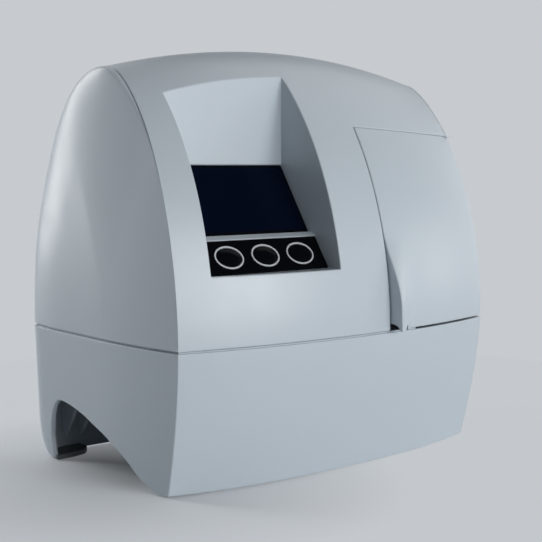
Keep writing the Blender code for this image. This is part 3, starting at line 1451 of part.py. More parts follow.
CHIP_HEIGHT = 2 * MM
CHIP_SIZE = 14 * MM


def build_board_chips():
    """Processor, memory and driver packages on the board."""
    low, high = board_box()
    span = (high[0] - low[0], high[1] - low[1])
    place_shares = {"processor_chip": (0.3, 0.45, 1.0), "memory_chip": (0.55, 0.5, 0.7),
                    "driver_chip": (0.8, 0.45, 0.6)}
    for name, (across, back, grow) in place_shares.items():
        x, y = low[0] + span[0] * across, low[1] + span[1] * back
        half = CHIP_SIZE * grow / 2
        place_mesh(name, block((x - half, y - half, high[2] + FIT),
                               (x + half, y + half, high[2] + FIT + CHIP_HEIGHT)), dark_plastic())


SOCKET_DEPTH = 9 * MM
JACK_BORE = 3.4 * MM
JACK_PIN_RADIUS = 0.9 * MM
SERIAL_BORE_WIDTH = 19 * MM
SERIAL_BORE_HEIGHT = 7 * MM
SCANNER_BORE = 4.6 * MM


def connector_body(name, x, size, finish, bore):
    """Socket block on the board's rear edge, open to the back."""
    rear = REAR_Y - REAR_DRAFT
    low = (x - size[0] / 2, rear - CONNECTOR_DEPTH, CONNECTOR_Z)
    high = (x + size[0] / 2, rear, CONNECTOR_Z + size[1])
    outline = rounded((x, (low[2] + high[2]) / 2), size, CONNECTOR_ROUND)
    made = place_mesh(name, add_prism(bmesh.new(), outline, "Y", low[1], rear), finish)
    cavity = add_prism(bmesh.new(), bore, "Y", rear - SOCKET_DEPTH, rear + OVERRUN)
    boolean(made, name + "_socket", cavity, "DIFFERENCE")
    return made


def build_connectors():
    jack_z = CONNECTOR_Z + JACK_SIZE[1] / 2
    jack = connector_body("power_jack", JACK_X, JACK_SIZE, dark_plastic(),
                          ellipse((JACK_X, jack_z), JACK_BORE, JACK_BORE, 24))
    pin = add_turned(bmesh.new(), [(JACK_PIN_RADIUS, -SOCKET_DEPTH - FIT), (JACK_PIN_RADIUS, -2 * FIT)],
                     (JACK_X, REAR_Y - REAR_DRAFT, jack_z), "Y", 12)
    boolean(jack, "jack_pin", pin, "UNION")
    serial_z = CONNECTOR_Z + SERIAL_SIZE[1] / 2
    connector_body("serial_port", SERIAL_X, SERIAL_SIZE, steel(),
                   rounded((SERIAL_X, serial_z), (SERIAL_BORE_WIDTH, SERIAL_BORE_HEIGHT),
                           SERIAL_BORE_HEIGHT / 3))
    scanner_z = CONNECTOR_Z + SCANNER_SIZE[1] / 2
    connector_body("scanner_port", SCANNER_X, SCANNER_SIZE, dark_plastic(),
                   ellipse((SCANNER_X, scanner_z), SCANNER_BORE, SCANNER_BORE, 24))


PLATE_WIDTH = 60 * MM
PLATE_HEIGHT = 24 * MM
PLATE_THICKNESS = 0.5 * MM


def build_rating_plate():
    outline = rounded((0, 0), (PLATE_WIDTH, PLATE_HEIGHT), CONNECTOR_ROUND)
    bm = add_prism(bmesh.new(), outline, "Z", PAN_Z - FIT - PLATE_THICKNESS, PAN_Z - FIT)
    return place_mesh("rating_plate", bm, aluminium())


RIBBON_WIDTH = 14 * MM
RIBBON_THICKNESS = 0.9 * MM
RIBBON_X = RECESS_MID


def ribbon_route():
    """Places in Y and Z along the flat cable, from the key board down to the main board."""
    start = PANEL_SLOPE.at(0.5, key_board_top() - FIT - BOARD_THICKNESS - FIT)
    top = board_box()[1][2] + FIT
    sag = start + Vector((DISPLAY_RUN, 0)) - Vector((0, PANEL_RISE))
    end = Vector((sag.x, top))
    handle = Vector((start.x + DISPLAY_RUN, start.y))
    points = []
    for s in spread(0, 1, 13):
        a = start.lerp(handle, s)
        b = handle.lerp(end, s)
        points.append(a.lerp(b, s))
    return points


def build_ribbon_cable():
    """Flat cable that curves from the back of the key board down to the main board."""
    route = ribbon_route()
    half = RIBBON_WIDTH / 2
    rings = []
    for i, point in enumerate(route):
        run = (route[min(i + 1, len(route) - 1)] - route[max(i - 1, 0)]).normalized()
        across = Vector((-run.y, run.x)) * (RIBBON_THICKNESS / 2)
        a, b = point + across, point - across
        rings.append([Vector((RIBBON_X - half, a.x, a.y)), Vector((RIBBON_X + half, a.x, a.y)),
                      Vector((RIBBON_X + half, b.x, b.y)), Vector((RIBBON_X - half, b.x, b.y))])
    return place_mesh("ribbon_cable", add_rings(bmesh.new(), rings),
                      material("ribbon_grey", (0.35, 0.36, 0.38), 0.6))


def main():
    clear_scene()
    shell = build_base_shell()
    bore_columns(shell)
    build_base_pan()
    build_case_screws()
    build_rubber_feet()
    build_front_cover()
    build_display_window()
    build_key_panel()
    build_button_rings()
    for name, x in zip(KEY_NAMES, key_places()):
        build_button("button_" + name, x)
    build_key_board()
    build_key_switches()
    build_display_module()
    build_rear_cover()
    build_side_cover("left_side_cover", -1)
    cut_flange_opening(build_side_cover("right_side_cover", 1))
    build_door()
    build_hinge_bracket()
    build_hinge_pins()
    bay = build_bay()
    add_magnet_holder(bay)
    build_motor_posts(bay)
    build_door_catch()
    build_shaft_bearings()
    build_rotor()
    build_rotor_shaft()
    build_gear("drive_gear", GEAR_TEETH, 0.0, (ROTOR_X, ROTOR_Z), SHAFT_RADIUS + RUNNING, acetal())
    build_gear("motor_pinion", PINION_TEETH, 0.5, (PINION_X, PINION_Z),
               MOTOR_SHAFT_RADIUS + RUNNING, steel())
    build_motor_shaft()
    build_drive_motor()
    build_optical_head()
    build_lens()
    build_heater_plate()
    build_main_board()
    build_board_chips()
    build_connectors()
    build_rating_plate()
    build_ribbon_cable()


main()
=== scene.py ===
"""Looks of a benchtop analyzer for glycated hemoglobin.

The housing's shells, the door, the panes and the keys are built again with finer meshes and
rounded edges, on the same named sizes as the solids. Only the rounding of the side covers starts
further up than in the solids, with ROUND_START and ROUND_SPAN. The parts inside keep their solids
and get their finishes here. X runs to the right as seen from the front, Y to the back, Z up.
"""
import json
import math

import bmesh
import bpy
from mathutils import Matrix, Vector


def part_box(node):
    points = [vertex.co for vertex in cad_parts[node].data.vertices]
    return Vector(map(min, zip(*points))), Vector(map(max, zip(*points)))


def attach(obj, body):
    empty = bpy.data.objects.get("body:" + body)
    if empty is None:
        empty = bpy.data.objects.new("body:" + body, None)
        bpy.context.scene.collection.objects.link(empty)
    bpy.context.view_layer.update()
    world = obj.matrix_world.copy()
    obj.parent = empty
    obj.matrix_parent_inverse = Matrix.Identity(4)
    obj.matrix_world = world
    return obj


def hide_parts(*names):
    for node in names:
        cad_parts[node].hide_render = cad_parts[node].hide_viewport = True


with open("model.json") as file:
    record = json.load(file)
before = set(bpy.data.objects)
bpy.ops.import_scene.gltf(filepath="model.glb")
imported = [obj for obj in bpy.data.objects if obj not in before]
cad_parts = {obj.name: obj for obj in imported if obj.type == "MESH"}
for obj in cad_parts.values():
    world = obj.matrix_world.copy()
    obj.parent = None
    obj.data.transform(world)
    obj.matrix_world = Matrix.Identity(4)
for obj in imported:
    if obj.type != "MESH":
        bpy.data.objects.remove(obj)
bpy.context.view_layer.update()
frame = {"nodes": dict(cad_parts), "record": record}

MM = 0.001
QUARTER = math.pi / 2

# Overall size and the lines that divide the housing
WIDTH = 205 * MM
DEPTH = 137.3 * MM
HEIGHT = 200 * MM
SEAM_Z = 65.8 * MM
WALL = 2.5 * MM
PARTING = 0.5 * MM
FIT = 0.3 * MM
OVERRUN = 20 * MM

# Form of the housing
FRONT_BOW = 12.1 * MM
CROWN = 11.3 * MM
SIDE_BULGE = 5.8 * MM
RIDGE_DRAW_IN = 2.35 * MM
APEX_SETBACK = 0.9 * MM
CORNER_REACH = 20 * MM
CORNER_DEPTH = 17 * MM
SIDE_ROUND_DEPTH = 62 * MM
BOW_POWER = 2.4
FRONT_ARCH_OUT_POWER = 1.56
FRONT_ARCH_UP_POWER = 1.95
REAR_ARCH_POWER = 1.94
CORNER_POWER = 3
SIDE_ROUND_OUT_POWER = 5.6
SIDE_ROUND_BACK_POWER = 2.4
SIDE_SQUARE_OUT_POWER = 8.5
SIDE_SQUARE_BACK_POWER = 3.5
SQUARE_START = math.radians(118)
SQUARE_SPAN = math.radians(35)
RIDGE_LINE_SETBACK = 8 * MM
ROUND_START = math.radians(66)
ROUND_SPAN = math.radians(39)
SIDE_EVEN_SPAN = math.radians(16)
SIDE_ANGLES = 181
SEARCH_STEPS = 40

# Lower housing
FOOT_HEIGHT = 0.8 * MM
FRONT_UNDERCUT = 11.1 * MM
UNDERCUT_POWER = 1.6
SIDE_DRAFT = 1.85 * MM
REAR_DRAFT = 1.6 * MM
REAR_HEEL_HEIGHT = 20 * MM
REAR_HEEL_DEPTH = 12 * MM
GROOVE_HEIGHT = 0.9 * MM
GROOVE_DEPTH = 1.2 * MM
BAND_Z = 44 * MM
HAND_HOLD_HEIGHT = 31.2 * MM
HAND_HOLD_FRONT_INSET = 16 * MM
HAND_HOLD_REAR_INSET = 22.2 * MM
HAND_HOLD_CORNER = 17 * MM
HAND_HOLD_CORNER_LENGTH = 10.5 * MM
PAN_Z = 31.7 * MM

# Recess with the display and the keys
RECESS_MARGIN = 16.4 * MM
RECESS_WIDTH = 67.9 * MM
LEDGE_RISE = 30.6 * MM
LEDGE_SLOPE = 0.5 * MM
PANEL_SETBACK = 10.75 * MM
PANEL_RUN = 9.9 * MM
PANEL_RISE = 14.5 * MM
BAR_RUN = 4.5 * MM
BAR_RISE = 1.8 * MM
DISPLAY_RUN = 20.6 * MM
DISPLAY_RISE = 31.3 * MM
GLAZING = 1.5 * MM
VIEW_WIDTH = 65.4 * MM
VIEW_HEIGHT = 35 * MM

# Keys
KEY_WIDTH = 13.4 * MM
KEY_HEIGHT = 9.4 * MM
KEY_PITCH = 20.35 * MM
KEY_PROUD = 0.35 * MM
KEY_BODY = 1.05 * MM
RING_WIDTH = 0.75 * MM
STEM_RADIUS = 2.6 * MM
STEM_LENGTH = 3.4 * MM
KEY_NAMES = ("left", "middle", "right")

# Door, its finger lip and its hinge
DOOR_WIDTH_SHARE = 0.409
DOOR_HEIGHT_SHARE = 0.72
LIP_REACH = 7.3 * MM
LIP_WIDTH = 17 * MM
LIP_FADE_START = 13 * MM
LIP_FADE_END = 47 * MM
LIP_NOTCH_DEPTH = 5.9 * MM
LIP_NOTCH_HEIGHT = 3.4 * MM
DOOR_TOP_FALL = 3.6 * MM
DOOR_WALL = 2.2 * MM
DOOR_WRAP = 26.05 * MM
HINGE_SETBACK = 11 * MM
HINGE_INSET = 7.2 * MM
HINGE_GAP = 1.4 * MM
PIN_CLEARANCE_RADIUS = 1.12 * MM
BARREL_RADIUS = 2.2 * MM
ARM_HEIGHT = 5 * MM
ARM_WIDTH = 3 * MM
ARM_REACH = 12.8 * MM
ARM_FORWARD = 18 * MM
ARM_RISE = 9 * MM
ARM_SPACING = 32 * MM

# Vents in the rear cover and openings for the connectors
VENT_COUNT = 6
VENT_LENGTH = 44 * MM
VENT_HEIGHT = 2.6 * MM
VENT_PITCH = 6.5 * MM
VENT_RISE = 22 * MM
VENT_SPREAD = 34 * MM
VENT_ROUND_SHARE = 0.49
CONNECTOR_ROUND = 1.5 * MM

# Rounding of edges, and the heights between which the line at the upper left opens
SHARP_ANGLE = math.radians(38)
SHELL_EDGE = 0.55 * MM
OPENING_EDGE = 1.15 * MM
SEAM_EDGE = 0.2 * MM
CLOSED_SHARE = 0.2
CLOSED_Z = 118 * MM
OPEN_Z = 178 * MM
PANE_EDGE = 0.3 * MM
RIB_EDGE = 0.4 * MM

FRONT_HALF = WIDTH / 2 - SIDE_BULGE
DOOR_WIDTH = 2 * FRONT_HALF * DOOR_WIDTH_SHARE
DOOR_HEIGHT = (HEIGHT - SEAM_Z) * DOOR_HEIGHT_SHARE
DOOR_LEFT = FRONT_HALF - DOOR_WIDTH
LIP_OVERHANG = LIP_REACH - FRONT_BOW * ((DOOR_LEFT + PARTING) / FRONT_HALF) ** BOW_POWER
SIDE_PEAK_Y = LIP_OVERHANG / 2
REAR_Y = SIDE_PEAK_Y + DEPTH / 2
BOW_Y = SIDE_PEAK_Y - DEPTH / 2
FRONT_Y = BOW_Y + FRONT_BOW
APEX_Y = SIDE_PEAK_Y + APEX_SETBACK
RIDGE_LINE_Y = APEX_Y + RIDGE_LINE_SETBACK
RIDGE_HALF = FRONT_HALF - RIDGE_DRAW_IN
BACK_HALF = WIDTH / 2 - CORNER_REACH
RECESS_LEFT = -FRONT_HALF + RECESS_MARGIN
RECESS_RIGHT = RECESS_LEFT + RECESS_WIDTH
RECESS_MID = (RECESS_LEFT + RECESS_RIGHT) / 2
LEDGE_Z = SEAM_Z + LEDGE_RISE
PANEL_FOOT_Y = BOW_Y + PANEL_SETBACK
DOOR_TOP_Z = SEAM_Z + DOOR_HEIGHT
DOOR_EDGE_Y = FRONT_Y + DOOR_WRAP
HINGE_X = WIDTH / 2 - HINGE_INSET
HINGE_Y = DOOR_EDGE_Y + HINGE_SETBACK
HAND_HOLD_FRONT_Y = FRONT_Y + HAND_HOLD_FRONT_INSET
HAND_HOLD_REAR_Y = REAR_Y - HAND_HOLD_REAR_INSET
HAND_HOLD_TOP_Y = HAND_HOLD_REAR_Y - HAND_HOLD_CORNER_LENGTH


# Numbers and small mesh tools

def spread(low, high, count):
    return [low + (high - low) * i / (count - 1) for i in range(count)]


def mix(low, high, share):
    return low + (high - low) * share


def limit(value, low=0.0, high=1.0):
    return min(max(value, low), high)


def smooth_step(value):
    value = limit(value)
    return value * value * (3 - 2 * value)


def new_object(name, bm):
    mesh = bpy.data.meshes.new(name)
    bm.to_mesh(mesh)
    bm.free()
    made = bpy.data.objects.new(name, mesh)
    bpy.context.scene.collection.objects.link(made)
    return made


def place_piece(name, bm, slot, *nodes, body="housing", finish=None):
    """Make an object of a mesh, let it ride on a body and stand for its CAD nodes."""
    made = new_object(name, bm)
    made.data.materials.append(FINISHES[finish or slot])
    made.data.shade_smooth()
    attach(made, body)
    if nodes:
        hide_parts(*nodes)
    return made


def settle(made):
    """Turn an object's modifiers into its mesh."""
    graph = bpy.context.evaluated_depsgraph_get()
    mesh = bpy.data.meshes.new_from_object(made.evaluated_get(graph))
    made.modifiers.clear()
    made.data = mesh


def thicken(made, thickness):
    step = made.modifiers.new("wall", "SOLIDIFY")
    step.thickness = thickness
    step.offset = -1
    step.use_even_offset = True
    settle(made)


def round_edges(made, width, segments=3, share=None):
    """Round the sharp edges. Share gives the part of the width that an edge at a place gets."""
    step = made.modifiers.new("round_edges", "BEVEL")
    step.limit_method = "ANGLE"
    if share:
        bm = bmesh.new()
        bm.from_mesh(made.data)
        weight = bm.edges.layers.float.new("bevel_weight_edge")
        for edge in bm.edges:
            if len(edge.link_faces) == 2 and edge.calc_face_angle() > SHARP_ANGLE:
                edge[weight] = share((edge.verts[0].co + edge.verts[1].co) / 2)
        bm.to_mesh(made.data)
        bm.free()
        step.limit_method = "WEIGHT"
    step.angle_limit = SHARP_ANGLE
    step.width = width
    step.segments = segments
    step.use_clamp_overlap = False
    settle(made)


def carve(made, *cuts):
    """Cut guide bodies out of a piece."""
    for bm in cuts:
        bmesh.ops.recalc_face_normals(bm, faces=bm.faces)
        guide = new_object("cut", bm)
        step = made.modifiers.new("cut", "BOOLEAN")
        step.operation = "DIFFERENCE"
        step.solver = "MANIFOLD"
        step.object = guide
        settle(made)
        bpy.data.objects.remove(guide)


def even_normals(made, angle=SHARP_ANGLE):
    """Shade flat faces flat and curved ones round, with crisp cut edges."""
    made.data.set_sharp_from_angle(angle=angle)
    step = made.modifiers.new("even_normals", "WEIGHTED_NORMAL")
    step.keep_sharp = True


def add_rings(bm, rings, wrap=False):
    """Skin a stack of equal closed rings. Wrapped, the last ring meets the first."""
    rows = [[bm.verts.new(point) for point in ring] for ring in rings]
    count = len(rows[0])
    pairs = list(zip(rows, rows[1:]))
    if wrap:
        pairs.append((rows[-1], rows[0]))
    for low, high in pairs:
        for i in range(count):
            j = (i + 1) % count
            bm.faces.new((low[i], low[j], high[j], high[i]))
    if not wrap:
        bm.faces.new(rows[0][::-1])
        bm.faces.new(rows[-1])
    bmesh.ops.recalc_face_normals(bm, faces=bm.faces)
    return bm


def add_prism(bm, outline, axis, low, high):
    """Extrude an outline given in the two other axes, in X, Y, Z order, along axis."""
    def lift(point, level):
        coordinates = list(point)
        coordinates.insert("XYZ".index(axis), level)
        return Vector(coordinates)
    return add_rings(bm, [[lift(p, low) for p in outline], [lift(p, high) for p in outline]])


def add_block(bm, low, high):
    outline = [(low[0], low[1]), (high[0], low[1]), (high[0], high[1]), (low[0], high[1])]
    return add_prism(bm, outline, "Z", low[2], high[2])


def ellipse(centre, half_width, half_height, segments=48):
    turns = [2 * math.pi * i / segments for i in range(segments)]
    return [(centre[0] + half_width * math.cos(a), centre[1] + half_height * math.sin(a))
            for a in turns]


def rounded(centre, size, radius, steps=6):
    """Rectangle with round corners."""
    half_width, half_height = size[0] / 2 - radius, size[1] / 2 - radius
    corners = ((1, 1, 0), (-1, 1, 1), (-1, -1, 2), (1, -1, 3))
    points = []
    for side, end, quarter in corners:
        for i in range(steps + 1):
            a = (quarter + i / steps) * QUARTER
            points.append((centre[0] + side * half_width + radius * math.cos(a),
                           centre[1] + end * half_height + radius * math.sin(a)))
    return points


def grid_faces(bm, rows, skip=lambda i, j: False):
    """Faces between the rows of a grid of vertices, apart from those to skip."""
    for i, (low, high) in enumerate(zip(rows, rows[1:])):
        for j in range(len(low) - 1):
            if not skip(i, j):
                bm.faces.new((low[j], low[j + 1], high[j + 1], high[j]))


def close_skins(bm, outer, inner):
    """Close an outer skin of faces with an inner one. Outer and inner pair up the vertices."""
    twin = dict(zip(outer, inner))
    open_edges = [edge for edge in bm.edges if edge.is_boundary]
    for face in list(bm.faces):
        bm.faces.new([twin[v] for v in reversed(face.verts)])
    for edge in open_edges:
        a, b = edge.verts
        bm.faces.new((b, a, twin[a], twin[b]))
    bmesh.ops.recalc_face_normals(bm, faces=bm.faces)


# Surfaces of the housing

def quarter_shares(angle, out_power, up_power):
    """Shares of the two half axes of a superellipse at an angle from 0 to a quarter turn."""
    out = max(math.cos(angle), 0.0) ** (2 / out_power)
    return out, math.sin(angle) ** (2 / up_power)


def front_line(x):
    """Y of the bowed front at the seam."""
    return FRONT_Y - FRONT_BOW * (1 - min(abs(x) / FRONT_HALF, 1) ** BOW_POWER)


def ridge_line(x):
    """Height of the crowned top."""
    return HEIGHT - CROWN * (x / RIDGE_HALF) ** 2


def arch(x, turn, inset=0.0):
    """Point over the front, top and back at x. Turn runs from the front seam to the rear seam."""
    rise = ridge_line(x) - SEAM_Z - inset
    if turn <= QUARTER:
        out, up = quarter_shares(turn, FRONT_ARCH_OUT_POWER, FRONT_ARCH_UP_POWER)
        return Vector((x, APEX_Y - (APEX_Y - front_line(x) - inset) * out, SEAM_Z + rise * up))
    out, up = quarter_shares(math.pi - turn, REAR_ARCH_POWER, REAR_ARCH_POWER)
    return Vector((x, APEX_Y + (REAR_Y - APEX_Y - inset) * out, SEAM_Z + rise * up))


def turn_at_y(x, y):
    """Turn at which the arch reaches a given Y."""
    if y > APEX_Y:
        out = (y - APEX_Y) / (REAR_Y - APEX_Y)
        return math.pi - math.acos(limit(out) ** (REAR_ARCH_POWER / 2))
    out = (APEX_Y - y) / (APEX_Y - front_line(x))
    return math.acos(limit(out) ** (FRONT_ARCH_OUT_POWER / 2))


def turn_at_z(x, z):
    """Turn at which the front half of the arch reaches a given height."""
    climb = (z - SEAM_Z) / (ridge_line(x) - SEAM_Z)
    return math.asin(limit(climb) ** (FRONT_ARCH_UP_POWER / 2))


def front_y(x, z):
    """Y of the front surface at x and z."""
    share = limit((z - SEAM_Z) / (ridge_line(x) - SEAM_Z))
    out = (1 - share ** FRONT_ARCH_UP_POWER) ** (1 / FRONT_ARCH_OUT_POWER)
    return APEX_Y - (APEX_Y - front_line(x)) * out


def edge_half(turn):
    """Half width of the middle cover, where it meets the side covers."""
    if turn <= QUARTER:
        return FRONT_HALF - RIDGE_DRAW_IN * math.sin(turn) ** 2
    return RIDGE_HALF - (RIDGE_HALF - BACK_HALF) * math.cos(turn) ** 2


def parting_share(x, y, z):
    """How far the line between the covers stands open. In front it is closed, but for the upper
    part at the left."""
    behind = smooth_step((y - APEX_Y) / RIDGE_LINE_SETBACK)
    risen = smooth_step((z - CLOSED_Z) / (OPEN_Z - CLOSED_Z)) if x < 0 else 0.0
    return mix(CLOSED_SHARE, 1.0, max(behind, risen))


def side_edge(turn):
    """Angle and length of the line from the side cover's middle on the seam to its edge."""
    edge = arch(edge_half(turn), turn)
    rise, run = edge.z - SEAM_Z, SIDE_PEAK_Y - edge.y
    return math.atan2(rise, run), math.hypot(rise, run)


SIDE_EDGES = [side_edge(turn) for turn in spread(0, math.pi, SIDE_ANGLES)]


def even_length(angle):
    """Length of the side cover's lines at an angle, evened out over its neighbours."""
    total = weights = 0.0
    for mirror in (0, 2 * math.pi):
        for (a, length), (b, _) in zip(SIDE_EDGES, SIDE_EDGES[1:]):
            for centre in ((a, -a) if mirror == 0 else (mirror - a,)):
                weight = (b - a) * math.exp(-((centre - angle) / SIDE_EVEN_SPAN) ** 2)
                total += weight * length
                weights += weight
    return total / weights


EVEN_LENGTHS = [even_length(angle) for angle in spread(0, math.pi, SIDE_ANGLES)]


def roundness(angle):
    """How far the side cover's edge is a round corner, from 0 in front to 1 at the back."""
    return smooth_step((angle - ROUND_START) / ROUND_SPAN)


def side_reach(turn, depth):
    """How far the side cover stands out at a depth inwards from its arched edge."""
    angle, length = side_edge(turn)
    place = limit(angle / math.pi) * (len(EVEN_LENGTHS) - 1)
    i = min(int(place), len(EVEN_LENGTHS) - 2)
    evened = mix(EVEN_LENGTHS[i], EVEN_LENGTHS[i + 1], place - i)
    depth = max(depth + (evened - length) * smooth_step(2 * depth / length), 0.0)
    full = WIDTH / 2 - edge_half(turn)
    bulged = 1 - (1 - min(depth / evened, 1.0)) ** 2
    square = smooth_step((angle - SQUARE_START) / SQUARE_SPAN)
    out_power = mix(SIDE_ROUND_OUT_POWER, SIDE_SQUARE_OUT_POWER, square)
    back_power = mix(SIDE_ROUND_BACK_POWER, SIDE_SQUARE_BACK_POWER, square)
    inwards = 1 - min(depth / SIDE_ROUND_DEPTH, 1.0)
    turned = (1 - inwards ** back_power) ** (1 / out_power)
    return full * mix(bulged, turned, roundness(angle))


def side_x(y, z):
    """X of the right side cover's outer surface at y and z."""
    wanted = math.atan2(z - SEAM_Z, SIDE_PEAK_Y - y)
    low, high = 0.0, math.pi
    for _ in range(SEARCH_STEPS):
        turn = (low + high) / 2
        edge = arch(edge_half(turn), turn)
        if math.atan2(edge.z - SEAM_Z, SIDE_PEAK_Y - edge.y) < wanted:
            low = turn
        else:
            high = turn
    length = math.hypot(edge.y - SIDE_PEAK_Y, edge.z - SEAM_Z)
    depth = length - math.hypot(y - SIDE_PEAK_Y, z - SEAM_Z)
    return edge_half(turn) + side_reach(turn, max(depth, 0.0))


def base_rear(z):
    """Y of the lower housing's back at a height."""
    share = max(SEAM_Z - z, 0.0) / SEAM_Z
    heel = limit((REAR_HEEL_HEIGHT - z) / REAR_HEEL_HEIGHT)
    return REAR_Y - REAR_DRAFT * share - REAR_HEEL_DEPTH * (1 - math.sqrt(1 - heel ** 2))


def plan(z, inset=0.0, front_count=121, side_count=41, corner_count=41):
    """Right half of the lower housing's outline at a height, from front to back."""
    share = max(SEAM_Z - z, 0.0) / SEAM_Z
    draft = SIDE_DRAFT * share + inset
    front = FRONT_Y + FRONT_UNDERCUT * share ** UNDERCUT_POWER + inset
    rear = base_rear(z) - inset
    half, wide = FRONT_HALF - draft, WIDTH / 2 - draft
    points = [Vector((half * s, front - FRONT_BOW * (1 - s ** BOW_POWER), z))
              for s in spread(0, 1, front_count)]
    corner_at = len(points) - 1
    for s in spread(0, 1, side_count)[1:]:
        points.append(Vector((mix(half, wide, 1 - (1 - s) ** 2),
                              mix(front, SIDE_PEAK_Y, s), z)))
    reach = CORNER_REACH - draft
    for a in spread(0, QUARTER, corner_count):
        out, up = quarter_shares(a, CORNER_POWER, CORNER_POWER)
        points.append(Vector((BACK_HALF + reach * out, rear - CORNER_DEPTH * (1 - up), z)))
    back_at = len(points) - 1
    points.append(Vector((0, rear, z)))
    return points, corner_at, back_at


class Outline:
    """The right half of the lower housing's outline at one height, measured along its length."""

    def __init__(self, z, inset=0.0):
        self.points, corner_at, back_at = plan(z, inset)
        self.reach = [0.0]
        for a, b in zip(self.points, self.points[1:]):
            self.reach.append(self.reach[-1] + (b - a).length)
        self.corner = self.reach[corner_at]
        self.back = self.reach[back_at]
        self.first_side = corner_at

    def at(self, distance):
        i = 1
        while i < len(self.reach) - 1 and self.reach[i] < distance:
            i += 1
        span = self.reach[i] - self.reach[i - 1]
        return self.points[i - 1].lerp(self.points[i], (distance - self.reach[i - 1]) / span)

    def where_y(self, y):
        """Distance along the side at which it reaches a given Y."""
        for i in range(self.first_side + 1, len(self.points)):
            a, b = self.points[i - 1], self.points[i]
            if b.y >= y:
                return mix(self.reach[i - 1], self.reach[i], limit((y - a.y) / (b.y - a.y)))
        return self.back


# Straight faces in the recess, in Y and Z

class Slope:
    """A straight face in the recess, from its foot to its head, with its outward normal."""

    def __init__(self, foot, run, rise):
        self.foot = Vector(foot)
        self.head = self.foot + Vector((run, rise))
        self.length = math.hypot(run, rise)
        self.along = Vector((run, rise)) / self.length
        self.out = Vector((-self.along.y, self.along.x))

    def at(self, share, out=0.0):
        return self.foot + self.along * (self.length * share) + self.out * out


PANEL_SLOPE = Slope((PANEL_FOOT_Y, LEDGE_Z + LEDGE_SLOPE), PANEL_RUN, PANEL_RISE)
BAR_SLOPE = Slope(PANEL_SLOPE.head, BAR_RUN, BAR_RISE)
DISPLAY_SLOPE = Slope(BAR_SLOPE.head, DISPLAY_RUN, DISPLAY_RISE)


def slanted_frame(slope, x=RECESS_MID):
    """Matrix whose X runs across, Y up the slope and Z out of it, from the slope's middle."""
    middle = slope.at(0.5)
    axes = Matrix(((1, 0, 0), (0, slope.along.x, slope.out.x), (0, slope.along.y, slope.out.y)))
    return Matrix.Translation(Vector((x, middle.x, middle.y))) @ axes.to_4x4()


def key_places():
    return [RECESS_MID + KEY_PITCH * i for i in (-1, 0, 1)]


def door_top(x):
    return DOOR_TOP_Z - DOOR_TOP_FALL / (DOOR_WIDTH + SIDE_BULGE) * (x - DOOR_LEFT)


# Finishes

class Nodes:
    """The node tree of a material or world, whose nodes are added one at a time."""

    def __init__(self, made):
        self.made = made
        made.use_nodes = True
        self.nodes, self.links = made.node_tree.nodes, made.node_tree.links

    def add(self, kind, inputs=None, **settings):
        node = self.nodes.new(kind)
        for key, value in settings.items():
            setattr(node, key, value)
        for socket, value in (inputs or {}).items():
            if isinstance(value, bpy.types.NodeSocket):
                self.links.new(value, node.inputs[socket])
            else:
                node.inputs[socket].default_value = value
        return node

    def math(self, operation, first, second):
        return self.add("ShaderNodeMath", {0: first, 1: second}, operation=operation).outputs[0]

    def ranged(self, value, low, high, start=0.3, end=0.7):
        return self.add("ShaderNodeMapRange", {"Value": value, "From Min": start, "From Max": end,
                                               "To Min": low, "To Max": high}).outputs[0]

    def sees(self):
        """1 for the rays that see a surface, from the camera, by reflection or through glass."""
        rays = self.add("ShaderNodeLightPath").outputs
        seen = self.math("MAXIMUM", rays["Is Camera Ray"], rays["Is Glossy Ray"])
        return self.math("MAXIMUM", seen, rays["Is Transmission Ray"])

    def blend(self, share, first, second, output):
        """Send the output a mix of two shaders."""
        mixed = self.add("ShaderNodeMixShader",
                         {0: share, 1: first.outputs[0], 2: second.outputs[0]})
        self.links.new(mixed.outputs[0], self.nodes[output].inputs["Surface"])


class Finish(Nodes):
    """A material. Lengths are in metres of the object."""

    def __init__(self, name, **values):
        super().__init__(bpy.data.materials.new(name))
        self.shader = self.nodes["Principled BSDF"]
        self.place = self.add("ShaderNodeTexCoord").outputs["Object"]
        for socket, value in values.items():
            self.shader.inputs[socket.replace("_", " ")].default_value = value

    def stretched(self, scale):
        return self.add("ShaderNodeMapping", {"Vector": self.place, "Scale": scale}).outputs[0]

    def noise(self, size, detail=3.0, place=None):
        """Cloudy values from 0 to 1 whose patches are about as large as size."""
        return self.add("ShaderNodeTexNoise", {"Vector": place or self.place, "Scale": 1 / size,
                                               "Detail": detail}).outputs[0]

    def between(self, share, first, second):
        node = self.add("ShaderNodeMix", data_type="RGBA")
        self.links.new(share, node.inputs[0])
        node.inputs[6].default_value = (*first, 1)
        node.inputs[7].default_value = (*second, 1)
        return node.outputs[2]

    def colour(self, socket):
        self.links.new(socket, self.shader.inputs["Base Color"])

    def rough(self, value, low, high):
        self.links.new(self.ranged(value, low, high), self.shader.inputs["Roughness"])

    def bump(self, *layers):
        """Stack bumps, each a height socket with its depth in metres."""
        normal = None
        for height, depth in layers:
            inputs = {"Height": height, "Distance": depth, "Strength": 1.0}
            if normal is not None:
                inputs["Normal"] = normal
            normal = self.add("ShaderNodeBump", inputs).outputs[0]
        self.links.new(normal, self.shader.inputs["Normal"])


TONE_PATCH = 60 * MM
GLOSS_PATCH = 9 * MM
COARSE_GRAIN = 8
METAL_SHADE = 0.86
METAL_LINES = 0.004 * MM

